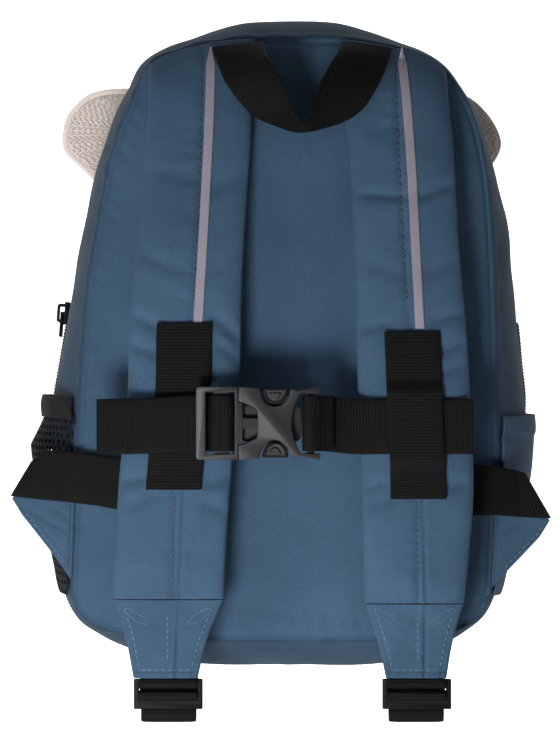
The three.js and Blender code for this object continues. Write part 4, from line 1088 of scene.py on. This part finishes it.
# A level band at the chest strap's height from rows of x, distance out, and rise.
def chestEdges(rows, count):
    line = smoothLine(rows, count)
    x, out, z = line[:, 0], line[:, 1], line[:, 2] - chest["down"]
    return np.stack([x, -out, z + 12.4, x, -out, z - 12.4], -1)


def makeChestStraps():
    back, front, bar, left, rise = (chest[name] for name in ("back", "front", "bar", "buckleLeft", "rise"))
    leftRows = [
        (left - 32, front, 0.0),
        (left - 20, front, 0.48),
        (left - 2, front - 0.2, rise),
        (left + 4.2, front - 0.3, rise),
        (left + 6, front + 1.4, rise),
        (left + 6.5, bar - 1, rise),
        (left + 8.6, bar + 1.3, rise),
        (left + 11.5, bar + 1.4, rise),
        (left + 14.4, bar + 1.3, rise),
        (left + 16.05, bar - 0.2, rise),
        (left + 16.1, bar - 4, rise),
        (left + 14, back + 1.0, rise),
        (left + 8, back + 0.5, rise),
        (left + 2, back, rise),
        (left - 14, back, 0.48),
        (left - 44.8, back, 0),
    ]
    socketBar = left + 49.4
    rightRows = [
        (80, chest["rest"], 0),
        (40, chest["rest"], 0),
        (socketBar + 20.4, chest["rest"] + 0.3, 0),
        (socketBar + 9, back + 0.4, 0.8 * rise),
        (socketBar + 4, front + 0.6, rise),
        (socketBar, front + 1, rise),
        (socketBar - 1.3, front + 2.6, rise),
        (socketBar - 1.5, bar - 0.8, rise),
        (socketBar - 0.7, bar + 1.0, rise),
        (socketBar + 0.9, bar + 1.5, rise),
        (socketBar + 3.6, bar + 1.1, rise),
        (socketBar + 7.4, bar - 1.6, rise),
        (socketBar + 11.5, front + 1.4, rise),
    ]
    finishBand(band("chest_strap_left_ribbed", chestEdges(leftRows, 500)), ["chest_strap_left"])
    finishBand(band("chest_strap_right_ribbed", chestEdges(rightRows, 400)), ["chest_strap_right"])


for sideName in sides:
    makeStrap(sideName)
    makeTab(sideName)
    makeStrapWebbing(sideName)
makeChestStraps()
print("stage 4: straps and their webbing are made")


# The grab handle: webbing whose outer edge lies on the panel and whose inner edge lifts off it. Rows
# are shares of its 25 mm width: side, down and out for each edge.
handleRows = [
    (-1.5, 0.2, 0.3, -0.56, 0.1, 0.3),
    (-1.43, 0.42, 0.52, -0.52, 0.28, 0.66),
    (-1.26, 0.86, 0.7, -0.44, 0.52, 1.06),
    (-0.99, 1.24, 0.76, -0.24, 0.88, 1.26),
    (-0.72, 1.5, 0.72, -0.11, 1.24, 1.34),
    (-0.38, 1.64, 0.54, 0.03, 1.55, 1.38),
    (0.1, 1.76, 0.4, 0.16, 1.68, 1.38),
    (0.6, 1.68, 0.54, 0.27, 1.58, 1.36),
    (0.98, 1.56, 0.7, 0.35, 1.3, 1.32),
    (1.27, 1.34, 0.76, 0.47, 0.94, 1.24),
    (1.52, 0.94, 0.74, 0.64, 0.6, 1.04),
    (1.72, 0.46, 0.54, 0.8, 0.3, 0.68),
    (1.8, 0.23, 0.3, 0.86, 0.1, 0.3),
]


def makeHandle():
    line = smoothLine(handleRows, 240) * webbing["width"]
    edges = line * [1, -1, -1, 1, -1, -1]
    edges = edges[:, [0, 2, 1, 3, 5, 4]]
    return finishBand(band("grab_handle_ribbed", edges), ["grab_handle"])


# Below each strap: a ladder lock, the loop that holds it, and the adjuster webbing that comes from the
# wing, folds flat behind the strap, hangs down, turns up behind the lock and goes over its middle bar.
lock = {"down": 292.8, "back": 24.24, "centre": {"left": -0.5886, "right": 0.572}, "foldRadius": 1.15}
wingWebbing = {
    "left": [
        (-1.25, 0.702, -1.35, 0.76, 0.19),
        (-1.18, 0.685, -1.2, 0.766, 0.2),
        (-1.1, 0.685, -1.1, 0.769, 0.22),
        (-0.94, 0.691, -0.94, 0.775, 0.34),
        (-0.84, 0.696, -0.84, 0.781, 0.44),
        (-0.77, 0.698, -0.72, 0.785, 0.49),
    ],
    "right": [
        (1.1, 0.722, 1.225, 0.797, 0.19),
        (1.06, 0.717, 1.08, 0.795, 0.2),
        (0.955, 0.71, 0.955, 0.791, 0.34),
        (0.855, 0.707, 0.855, 0.791, 0.44),
        (0.77, 0.706, 0.72, 0.791, 0.49),
    ],
}


def hangingEdges(centre, rows, count):
    line = smoothLine(rows, count)
    down, out = line[:, 0], line[:, 1]
    # The webbing spreads a little where it bunches in the lock
    below = down - lock["down"]
    half = webbing["width"] / 2 + 0.85 * ease(below, -2, 0.5) * ease(-below, -10, -7)
    x = np.full(len(down), centre)
    return np.stack([x - half, -out, -down, x + half, -out, -down], -1)


def makeAdjuster(side):
    sign, down, back = sides[side], lock["down"], lock["back"]
    centre = lock["centre"][side] * bag["halfWidth"]
    loopEnd = 291.9
    loop = [
        (loopEnd, back + 3.6),
        (down + 0.5, back + 4.3),
        (down + 1.6, back + 4.3),
        (down + 2.7, back + 3.5),
        (down + 2.95, back + 1.6),
        (down + 2.7, back - 0.3),
        (down + 1.6, back - 1.1),
        (down + 0.5, back - 1.1),
        (loopEnd, back - 0.5),
    ]
    finishBand(band(f"lock_loop_{side}_ribbed", hangingEdges(centre, loop, 90)), [f"lock_loop_{side}"])

    rows = np.array(wingWebbing[side])
    scale = [bag["halfWidth"], -bag["height"], bag["halfWidth"], -bag["height"], -strap["standoff"]]
    topX, topZ, lowX, lowZ, y = (rows * scale).T
    wing = np.stack([topX, y, topZ, lowX, y, lowZ], -1)
    half = sign * webbing["width"] / 2
    foldTop = np.array([centre + half, y[-1], topZ[-1]])
    foldLow = np.array([centre - half, y[-1], lowZ[-1]])
    across = unit(foldLow - foldTop)
    outward = np.array([across[2] * sign, 0, -across[0] * sign])
    angle = np.linspace(0, np.pi, 16)[:, None]
    shift = outward * lock["foldRadius"] * np.sin(angle)
    shift[:, 1:2] -= lock["foldRadius"] * (1 - np.cos(angle))
    fold = np.concatenate([foldTop + shift, foldLow + shift], 1)
    foldOut = -y[-1] + 2 * lock["foldRadius"]
    start = -lowZ[-1] + 4
    fall = hangingEdges(
        centre,
        [
            (start, foldOut),
            (start + 25, foldOut + 0.6),
            (down - 14, foldOut + 3),
            (down + 8, foldOut + 4.2),
            (down + 15, foldOut + 4.6),
            (down + 17.9, foldOut + 6),
            (down + 18.6, foldOut + 7.7),
            (down + 17.7, foldOut + 9.6),
            (down + 15, foldOut + 10.3),
            (down + 11.8, back - 2.4),
            (down + 10.2, back - 2.0),
            (down + 8.6, back - 0.9),
            (down + 8.35, back + 0.4),
            (down + 8.35, back + 2.6),
            (down + 8.1, back + 3.9),
            (down + 7.5, back + 4.7),
            (down + 6.5, back + 4.9),
            (down + 5.4, back + 4.7),
            (down + 4.7, back + 3.2),
            (down + 4.75, back + 0.6),
            (down + 5.0, back - 1.9),
            (down + 6.4, back - 3.7),
            (down + 9.4, back - 4.6),
            (down + 13.4, back - 4.8),
        ],
        700,
    )
    if sign > 0:
        fall = fall[:, [3, 4, 5, 0, 1, 2]]
    obj = band(f"adjuster_webbing_{side}_ribbed", np.concatenate([wing, fold, fall]))
    return finishBand(obj, [f"adjuster_webbing_{side}"])


# Soft plates in a seam: rings drawn in from a rim, in mm, with a face in front and one behind.
def rimFromSeam(rows, sign, clear=3.0):
    free = np.array([(side * bag["halfWidth"], 0, -down * bag["height"]) for side, down in rows])
    root = seam + seamOut * (bag["seamGap"] + 0.1)
    keep = (root[:, 0] * sign > 0) & (root[:, 2] < free[0, 2] - clear) & (root[:, 2] > free[-1, 2] + clear)
    root = root[keep][np.argsort(root[keep, 2])]
    return free, root


def platePiece(name, rim, centre, frontAt, backAt, rings=26):
    share = np.concatenate([np.linspace(0, 0.75, rings)[:-1], np.linspace(0.75, 1, rings)])[:, None, None]
    flat = centre + (rim - centre) * share
    front, back = flat.copy(), flat.copy()
    front[..., 1] = frontAt(flat[..., 0], flat[..., 2], share[..., 0])
    back[..., 1] = backAt(flat[..., 0], flat[..., 2], share[..., 0])
    grid = np.concatenate([front, back[::-1]])
    return closeUp(gridSurface(name, grid, wrapColumns=True, uv=flatUv(grid)))


# Wings: folded triangles of cloth in the side seams, the adjuster webbing sewn across them. Folds run
# from the tip.
wings = {
    "left": {
        "rows": [
            (-1.042, 0.72), (-1.17, 0.715), (-1.25, 0.728), (-1.345, 0.764),
            (-1.3, 0.79), (-1.205, 0.832), (-1.125, 0.868), (-1.062, 0.9),
        ],
        "middle": (-1.15, 0.78),
        "creases": [
            (-124, -216, -106, -226, 0.5, 1.6),
            (-118, -222, -104, -240, 0.5, 1.5),
            (-110, -216, -103, -222, 0.4, 1.5),
        ],
    },
    "right": {
        "rows": [
            (0.97, 0.735), (1.07, 0.74), (1.13, 0.752), (1.22, 0.801),
            (1.17, 0.829), (1.075, 0.864), (0.98, 0.898), (0.947, 0.912),
        ],
        "middle": (1.05, 0.8),
        "creases": [
            (112, -224, 96, -238, 0.55, 1.5),
            (106, -222, 94, -228, 0.5, 1.4),
            (110, -228, 100, -240, 0.45, 1.4),
        ],
    },
    "hem": 0.86,  # the stitched line's share of the way out
    "front": 2.4,  # how far out the front and back faces lie in the middle
    "back": 0.35,
    "thin": 0.9,  # how much the front falls at the rim
}


def makeWing(side):
    look, sign = wings[side], sides[side]
    free, root = rimFromSeam(look["rows"], sign)
    rim = evenLine(np.concatenate([free, root, free[:1]]), 241)[:-1]
    centre = np.array([look["middle"][0] * bag["halfWidth"], 0, -look["middle"][1] * bag["height"]])

    def frontAt(x, z, share):
        hem = 0.35 * bell(share - wings["hem"], 0.05)
        return -(wings["front"] - wings["thin"] * share**6) + creaseDepth(x, z, look["creases"]) + hem

    backAt = lambda x, z, share: -wings["back"] - 0.25 * share**6 + 0 * x
    obj = platePiece(f"wing_{side}_cloth", rim, centre, frontAt, backAt)
    finishPiece(obj, blueHemShaded, [f"wing_{side}"])
    return obj, rim, centre


# Ears: two layers of beige cloth with a little wadding, set in the front seam. A stitched line runs
# inside the rim.
ears = {
    "left": [
        (-0.72, 0.05), (-0.86, 0.048), (-0.99, 0.052), (-1.062, 0.062), (-1.108, 0.075), (-1.16, 0.098),
        (-1.183, 0.13), (-1.183, 0.15), (-1.165, 0.164), (-1.129, 0.177), (-1.088, 0.191),
        (-1.041, 0.206), (-0.96, 0.235), (-0.915, 0.25),
    ],
    "right": [
        (0.735, 0.052), (0.84, 0.055), (0.93, 0.07), (0.99, 0.09), (1.021, 0.104), (1.046, 0.119),
        (1.062, 0.132), (1.069, 0.145), (1.065, 0.156), (1.054, 0.166), (1.03, 0.18), (0.98, 0.205),
        (0.935, 0.226),
    ],
    "thick": 4.0,
    "edge": 0.45,
    "hem": 0.87,
}


def makeEar(side):
    sign = sides[side]
    free, root = rimFromSeam(ears[side], sign)
    smooth = smoothLine(free, 160)
    rim = evenLine(np.concatenate([smooth, root, smooth[:1]]), 261)[:-1]
    centre = np.array([sign * 0.97 * bag["halfWidth"], 0, -0.13 * bag["height"]])
    half, edge = ears["thick"] / 2, ears["edge"]

    def swell(x, z, share):
        stitched = 0.5 * bell(share - ears["hem"], 0.035)
        dent = 0.25 * waves(x + 0.6 * z, 16, 70 + sign)
        return half * (1 - (1 - edge) * share**4) - stitched - dent * (1 - share)

    middleAt = lambda z: depthAt(z) + bag["seamGap"] + edge * half
    obj = platePiece(
        f"ear_{side}_cloth",
        rim,
        centre,
        lambda x, z, share: middleAt(z) - swell(x, z, share),
        lambda x, z, share: middleAt(z) + swell(x, z, share),
    )
    finishPiece(obj, earCloth, [f"ear_{side}"])
    return obj, rim, centre


# Side pockets: sheets that stand off the gusset by a share of its bulge, eased to nothing at both
# seams. The left one is knitted net under a black binding, and the right one is cloth with a hem.
pockets = {
    "top": 165.5,
    "end": 256.0,
    "binding": 10.0,
    "from": 0.015,
    "to": 0.875,
    "left": [(0.0, 0.21), (0.1, 0.21), (0.26, 0.6), (0.42, 0.5), (0.65, 0.31), (0.85, 0.16), (1.0, 0.05)],
    "right": [(0.0, 0.06), (0.15, 0.15), (0.5, 0.16), (0.85, 0.1), (1.0, 0.05)],
    "off": 0.75,  # from the gusset to the pocket's inner face, at the least
    "cell": 3.3,
    "hole": 0.68,
    "netOff": 0.45,
    "netThick": 0.6,
}


def pocketAt(side, down, t, lift):
    down, t = np.broadcast_arrays(down, t)
    share = (down - pockets["top"]) / (pockets["end"] - pockets["top"])
    ats, offs = np.array(pockets[side]).T
    spread = np.sin(np.pi * np.clip((t - pockets["from"]) / (pockets["to"] - pockets["from"]), 0, 1)) ** 0.7
    off = pockets["off"] + bag["sideBulge"] * np.interp(share, ats, offs) * spread + lift
    return gussetAt(stepAtHeight(side, down), t, off)


def pocketSheet(name, side, top, end, liftAt, material, nodes, thick):
    down = np.linspace(top, end, max(int((end - top) / 1.3), 8))[:, None]
    t = np.linspace(pockets["from"], pockets["to"], 90)[None, :]
    grid = pocketAt(side, down, t, liftAt(down, t))
    if side == "left":
        grid = grid[:, ::-1]
    obj = closeUp(gridSurface(name, grid), False)
    thicken(obj, thick)
    finishPiece(obj, material, nodes)
    return obj


def makeNet():
    side, cell = "left", pockets["cell"]
    top = pockets["top"] + pockets["binding"] - 1.0
    width = (pockets["to"] - pockets["from"]) * depthAt(-(top + pockets["end"]) / 2)
    rows, columns = int((pockets["end"] - top) / cell), int(width / cell)
    r, c = (part[..., None] for part in np.meshgrid(np.arange(rows), np.arange(columns), indexing="ij"))
    # Eight points round each cell, its corners and the middles of its sides, and eight round its hole
    u = np.array([-0.5, 0, 0.5, 0.5, 0.5, 0, -0.5, -0.5])
    v = np.array([-0.5, -0.5, -0.5, 0, 0.5, 0.5, 0.5, 0])
    round8 = 1 / np.maximum(np.hypot(u, v), 1e-9) * 0.5 * pockets["hole"]
    shift = 0.5 * (r % 2)
    place = lambda du, dv: ((c + 0.5 + shift + du) / (columns + 0.5), (r + 0.5 + dv) / rows)
    outerC, outerR = place(u, v)
    innerC, innerR = place(u * round8, v * round8)
    # The brick rows' ends run past the sheet by half a cell and are drawn back to its edge
    shareC = np.clip(np.stack([outerC, innerC], -2), 0, 1)
    shareR = np.stack([outerR, innerR], -2)
    down = top + shareR * (pockets["end"] - top)
    t = pockets["from"] + shareC * (pockets["to"] - pockets["from"])
    points = pocketAt(side, down, t, pockets["netOff"]).reshape(-1, 3)
    k = np.arange(8)
    quads = np.stack([k, (k + 1) % 8, (k + 1) % 8 + 8, k + 8], -1)
    quads = (quads[None] + (np.arange(rows * columns) * 16)[:, None, None]).reshape(-1, 4)
    obj = closeUp(makeMesh("mesh_pocket_left_net", points, quads), False, near=0.05)
    thicken(obj, pockets["netThick"], 0.0)
    finishPiece(obj, blackNet, ["mesh_pocket_left"])
    return obj


def makePockets():
    top, end, deep = pockets["top"], pockets["end"], pockets["binding"]

    def roll(down, t):
        return 0.9 + 0.7 * np.sin(np.pi * np.clip((down - top) / deep, 0, 1)) + 0.2 * waves(t * 90, 9, 4)

    pocketSheet(
        "pocket_binding_left_tape", "left", top, top + deep, roll, blackTape,
        ["pocket_binding_left"], 1.2,
    )
    makeNet()
    start = top + 8.5
    hem = lambda down, t: 0.3 + 0.7 * ease(-(down - start), -9.5, -8.5) + 0.3 * waves(t * 90 + down, 22, 6)
    pocketSheet(
        "side_pocket_right_cloth", "right", start, end, hem, blueHemShaded,
        ["side_pocket_right"], 1.0,
    )


makeHandle()
earParts, wingParts = {}, {}
for sideName in sides:
    makeAdjuster(sideName)
    wingParts[sideName] = makeWing(sideName)
    earParts[sideName] = makeEar(sideName)
makePockets()
print("stage 5: handle, wings, ears and pockets are made")


# Moulded parts: a copy of each node's mesh, its corners merged and flat faces joined, with edges
# rounded by a bevel.
def mouldedCopy(node, name, radius, material, body="bag"):
    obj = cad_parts[node].copy()
    obj.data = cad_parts[node].data.copy()
    for key in list(obj.keys()):
        del obj[key]
    obj.name = name
    obj.data.name = name
    obj.parent = None
    scene.collection.objects.link(obj)
    work = bmesh.new()
    work.from_mesh(obj.data)
    bmesh.ops.remove_doubles(work, verts=work.verts, dist=0.005 * mm)
    bmesh.ops.dissolve_limit(work, angle_limit=math.radians(2), verts=work.verts, edges=work.edges)
    for face in work.faces:
        face.smooth = True
    work.to_mesh(obj.data)
    work.free()
    bevel = obj.modifiers.new("rounded edges", "BEVEL")
    bevel.width = radius * mm
    bevel.segments = 3
    bevel.limit_method = "ANGLE"
    bevel.angle_limit = math.radians(28)
    bevel.harden_normals = True
    return finishPiece(obj, material, [node], body)


mouldedCopy("buckle_male", "buckle_male_moulded", 0.5, blackAcetal)
mouldedCopy("buckle_female", "buckle_female_moulded", 0.7, blackAcetal)
for sideName in sides:
    mouldedCopy(f"ladder_lock_{sideName}", f"ladder_lock_{sideName}_moulded", 0.45, mattAcetal)
mouldedCopy("zip_slider", "zip_slider_cast", 0.35, mattAcetal)
mouldedCopy("zip_pull", "zip_pull_cast", 0.3, mattAcetal, body="zip_pull")
print("stage 6: moulded parts are made")


# The socket's floor, behind its window and its cut-in end, and the two finger buttons in its sides: a D
# with a raised rim, a hollow, and an oval pad in its middle.
buckle = {
    "left": -43.81,
    "middle": -176.4,
    "front": 41.99,
    "floor": (19.6, 46.9, 8.6),  # from and to along the buckle, and half its height
    "floorThick": (35.1, 36.4),
    "buttonAcross": 35.2,
    "buttonApart": 15.3,
    "buttonHalf": 5.75,
    "buttonHigh": 6.9,
}


def makeBuckleFloor():
    fromU, toU, half = buckle["floor"]
    angle = np.linspace(0, 2 * np.pi, 200, endpoint=False)
    centre = np.array([buckle["left"] + (fromU + toU) / 2, 0, buckle["middle"]])
    wide, high = roundedBox(angle, 0.3, 0.3)
    rim = centre + np.stack([wide * (toU - fromU) / 2, 0 * wide, high * half], -1)
    back, front = buckle["floorThick"]
    obj = platePiece(
        "buckle_socket_floor",
        rim,
        centre,
        lambda x, z, share: -(front - 0.3 * share**8) + 0 * x,
        lambda x, z, share: -back + 0 * x,
        rings=10,
    )
    finishPiece(obj, blackAcetal)


def makeButton(name, sign):
    angle = np.linspace(0, np.pi, 60)
    half, high = buckle["buttonHalf"], buckle["buttonHigh"]
    arch = np.stack([half * np.cos(angle), high * np.sin(angle)], -1)
    base = np.stack([np.linspace(-half, half, 24)[1:-1], np.zeros(22)], -1)
    outline = evenLine(np.concatenate([arch, base, arch[:1]]), 161)[:-1]
    across, down = buckle["left"] + buckle["buttonAcross"], buckle["middle"] + sign * buckle["buttonApart"]
    middle = np.array([across, 0, down])
    rim = middle + np.stack([outline[:, 0], 0 * outline[:, 0], -sign * outline[:, 1]], -1)
    centre = middle + [0, 0, -sign * 2.9]
    raised = lambda share: (
        0.75 * bell(share - 0.84, 0.09) + 0.7 * ease(-share, -0.46, -0.34) - 0.8 * share**16
    )
    frontAt = lambda x, z, share: -(buckle["front"] - 1.25 + raised(share)) + 0 * x
    obj = platePiece(name, rim, centre, frontAt, lambda x, z, share: 0 * x - 36.6, rings=30)
    finishPiece(obj, blackAcetal)


makeBuckleFloor()
makeButton("buckle_button_upper", 1)
makeButton("buckle_button_lower", -1)


# Sewing: rows of thread laid on a piece along points given as x, z in mm, from the side that the
# wearer's back sees.
seamLooks = {
    "lock": {"length": 2.2, "gap": 0.7, "radius": 0.24, "lift": 0.3, "sink": 0.06},
    "strap": {"length": 2.6, "gap": 0.5, "radius": 0.3, "lift": 0.32, "sink": 0.08},
    "bar": {"length": 1.0, "gap": 0.1, "radius": 0.24, "lift": 0.3, "sink": 0.05},
}


def sewOn(obj, points, look, zigzag=0.0):
    points = np.asarray(points, float)
    flat = np.stack([points[:, 0], np.full(len(points), -60.0), points[:, 1]], -1)
    line = evenLine(flat, max(int(np.linalg.norm(np.diff(flat, axis=0), axis=1).sum() / 0.8), 6))
    places, normals = landOn(obj, line)
    return stitches("row", places, normals, seamLooks[look], zigzag)


def finishThread(name, rows, material):
    return finishPiece(joined(name, rows), material)


# A running mean along a line, which keeps its two ends
def steady(line, reach=7):
    padded = np.concatenate([line[:1].repeat(reach, 0), line, line[-1:].repeat(reach, 0)])
    ring = np.ones(2 * reach + 1) / (2 * reach + 1)
    mean = np.stack([np.convolve(padded[:, n], ring, "valid") for n in range(3)], -1)
    return np.stack([line[:, 0], mean[:, 1], line[:, 2]], -1)


# Reflective tape: a flat strip laid on the strap along its seam, pointed where it leaves the top seam.
tape = {"half": 2.05, "tip": 0.12, "thick": 0.45, "lift": 0.5, "steps": 200}


def makeTape(side, strapObj):
    line = evenLine(np.array([(x, -60, z) for x, z in strapMarks[side]["tape"]], float), tape["steps"])
    half = tape["half"] * (tape["tip"] + (1 - tape["tip"]) * ease(line[0, 2] - line[:, 2], -1, 9))
    edges = []
    for turn in (-1, 1):
        places, normals = landOn(strapObj, line + np.stack([turn * half, 0 * half, 0 * half], -1))
        edges.append(steady(places) + [0, -tape["lift"], 0])
    edges = np.concatenate(edges, 1)
    obj = band(f"reflective_strip_{side}_tape", edges, reflectiveTape, tape["thick"], rib=0.0)
    finishPiece(obj, reflectiveTape, [f"reflective_strip_{side}"])


def makeStrapSewing(side):
    strapObj = bpy.data.objects[f"shoulder_strap_{side}_cloth"]
    tabObj = bpy.data.objects[f"strap_tab_{side}_cloth"]
    webObj = bpy.data.objects[f"strap_webbing_{side}_ribbed"]
    stitched = strapMarks[side]["stitched"]
    makeTape(side, strapObj)
    rows = [sewOn(strapObj, [p for p in stitched if p[1] > -134], "strap", 0.75)]
    below = [p for p in stitched if -258 < p[1] < -200]
    rows.append(sewOn(strapObj, below, "lock", 0.25))
    finishThread(f"strap_seam_{side}_thread", rows, darkThread)

    table = tabRows[side]
    at = np.linspace(0.95, 1.035, 12)
    edge = column(table, at, "width") * strap["width"] / 2 - 3.6
    centre = column(table, at, "centre") * bag["halfWidth"]
    z = -at * bag["height"]
    rows = [sewOn(tabObj, np.stack([centre + turn * edge, z], -1), "lock") for turn in (-1, 1)]
    low = -1.038 * bag["height"]
    rows.append(sewOn(tabObj, [(centre[-1] - edge[-1], low), (centre[-1] + edge[-1], low)], "lock"))
    seamX = stitched[-1][0]
    rows.append(sewOn(tabObj, [(seamX, -262), (seamX, -284)], "lock"))
    # An oval of stitches in each upper corner
    turn = np.linspace(0, 2 * np.pi, 24)
    for place in (-1, 1):
        longWay, shortWay = np.array([place * 0.84, 0.54]), np.array([-place * 0.54, 0.84])
        middle = np.array([centre[0] + place * (edge[0] - 4.0), -0.951 * bag["height"]])
        oval = middle + 6.2 * np.cos(turn)[:, None] * longWay + 1.6 * np.sin(turn)[:, None] * shortWay
        rows.append(sewOn(tabObj, oval, "bar"))
    finishThread(f"strap_tab_{side}_thread", rows, blueThread)

    start, end = webbingSpan[side]
    rows = []
    for at in (start + 0.012, start + 0.02, end - 0.02, end - 0.012):
        middle = float(column(strapRows[side], np.array([at]), "centre")[0]) * bag["halfWidth"]
        z = -at * bag["height"]
        rows.append(sewOn(webObj, [(middle - 11, z), (middle + 11, z)], "bar", 0.5))
    finishThread(f"strap_webbing_{side}_thread", rows, blackThread)


def makeChestSewing():
    right = bpy.data.objects["chest_strap_right_ribbed"]
    left = bpy.data.objects["chest_strap_left_ribbed"]
    middle = -chest["down"]
    rows = [
        sewOn(right, [(x, middle + 11.4 + rise), (x, middle - 10.6 + rise)], "bar", zig)
        for x, rise, zig in ((6.6, 1.2, 0.3), (8.6, 1.2, 0.3), (10.6, 1.2, 0.3), (12.8, 1.1, 0.3))
    ]
    rows += [sewOn(left, [(x, middle + 10.8), (x, middle - 10.8)], "bar", 0.4) for x in (-73.6, -71.8)]
    finishThread("chest_strap_thread", rows, blackThread)


def makeHandleSewing():
    obj = bpy.data.objects["grab_handle_ribbed"]
    line = smoothLine(handleRows, 120) * webbing["width"]
    share = 0.14
    mixed = line[:, 3:] * (1 - share) + line[:, :3] * share
    rows = []
    for part in (mixed[8:56], mixed[66:112]):
        rows.append(sewOn(obj, np.stack([part[:, 0], -part[:, 1]], -1), "lock"))
    finishThread("grab_handle_thread", rows, blackThread)


def makeWingSewing(side):
    obj, rim, centre = wingParts[side]
    inner = centre + (rim - centre) * wings["hem"]
    free = inner[(inner[:, 2] < centre[2] - 2.0) & (np.abs(inner[:, 0]) > np.abs(rim[:, 0]).min() + 5)]
    free = free[np.argsort(free[:, 2])[::-1]]
    rows = [sewOn(obj, free[:, [0, 2]], "lock")]
    finishThread(f"wing_{side}_thread", rows, blueThread)


def makeEarSewing(side):
    obj, rim, centre = earParts[side]
    inner = centre + (rim - centre) * ears["hem"]
    keep = np.abs(inner[:, 0]) > 70
    order = np.argsort(np.arctan2(inner[keep, 2] - centre[2], np.abs(inner[keep, 0]) - 60))
    line = inner[keep][order][::-1]
    rows = [sewOn(obj, line[:, [0, 2]], "lock")]
    finishThread(f"ear_{side}_thread", rows, beigeThread)


for sideName in sides:
    makeStrapSewing(sideName)
    makeWingSewing(sideName)
    makeEarSewing(sideName)
makeChestSewing()
makeHandleSewing()
print("stage 7: seams are sewn")


# The studio: a pale sweep that curves up behind, soft lights, and the camera 1.2 m in front of the back
# panel.
studio = {
    "floorZ": -520.0,
    "wallY": 2600.0,
    "corner": 500.0,
    "half": 9000.0,
    "camera": (-6.45, -1200.0, -154.0),
    "lens": 125.7,
    "sensor": 36,
    # place and aim in mm, size in mm, and power in W
    "lights": {
        "low_front_light": ((-170, -540, -450), (0, 0, -240), 200, 5.3),
        "left_light": ((-1300, -900, -100), (0, 40, -150), 500, 5),
        "top_light": ((0, -150, 1300), (0, 40, -100), 900, 3.5),
    },
    "air": 0.13,
}


def makeSweep():
    angle = np.linspace(0, np.pi / 2, 24)
    half, wall, corner = studio["half"], studio["wallY"], studio["corner"]
    y = np.concatenate([[-half], wall - corner * (1 - np.sin(angle)), [wall]])
    z = np.concatenate([[0], corner * (1 - np.cos(angle)), [half]]) + studio["floorZ"]
    x = np.linspace(-half, half, 2)
    grid = np.stack([np.tile(x, (len(y), 1)), np.tile(y[:, None], (1, 2)), np.tile(z[:, None], (1, 2))], -1)
    sweep = gridSurface("studio_sweep", grid)
    paper, tree, shader = newMaterial("white paper, matt", Roughness=0.9)
    shader.inputs["Base Color"].default_value = colour("#f8f8f8")
    shader.inputs["Emission Color"].default_value = (1, 1, 1, 1)
    # The wall behind glows white and the floor under the bag stays a pale grey
    body = addNode(tree, "ShaderNodeTexCoord")
    place = addNode(tree, "ShaderNodeSeparateXYZ", {0: body.outputs["Object"]})
    glow = addNode(tree, "ShaderNodeMapRange", {0: place.outputs["Y"], 1: 0.9, 2: 1.4, 3: 0.05, 4: 1.0})
    tree.links.new(glow.outputs[0], shader.inputs["Emission Strength"])
    sweep.data.materials.append(paper)


def makeLight(name, place, aim, size, power):
    light = bpy.data.lights.new(name, "AREA")
    light.shape = "DISK"
    light.size = size * mm
    light.energy = power
    obj = bpy.data.objects.new(name, light)
    scene.collection.objects.link(obj)
    obj.location = Vector(place) * mm
    obj.rotation_mode = "QUATERNION"
    obj.rotation_quaternion = (Vector(aim) * mm - obj.location).to_track_quat("-Z", "Y")


makeSweep()
for lightName, values in studio["lights"].items():
    makeLight(lightName, *values)
world = bpy.data.worlds.new("studio air")
world.use_nodes = True
world.node_tree.nodes["Background"].inputs["Color"].default_value = (1, 1, 1, 1)
world.node_tree.nodes["Background"].inputs["Strength"].default_value = studio["air"]
scene.world = world

cameraData = bpy.data.cameras.new("camera")
cameraData.lens = studio["lens"]
cameraData.sensor_width = studio["sensor"]
cameraData.clip_start = 0.05
cameraData.clip_end = 30
camera = bpy.data.objects.new("camera", cameraData)
scene.collection.objects.link(camera)
camera.location = Vector(studio["camera"]) * mm
camera.rotation_mode = "QUATERNION"
camera.rotation_quaternion = Vector((0, 1, 0)).to_track_quat("-Z", "Y")
scene.camera = camera
print("stage 8: the studio is set")
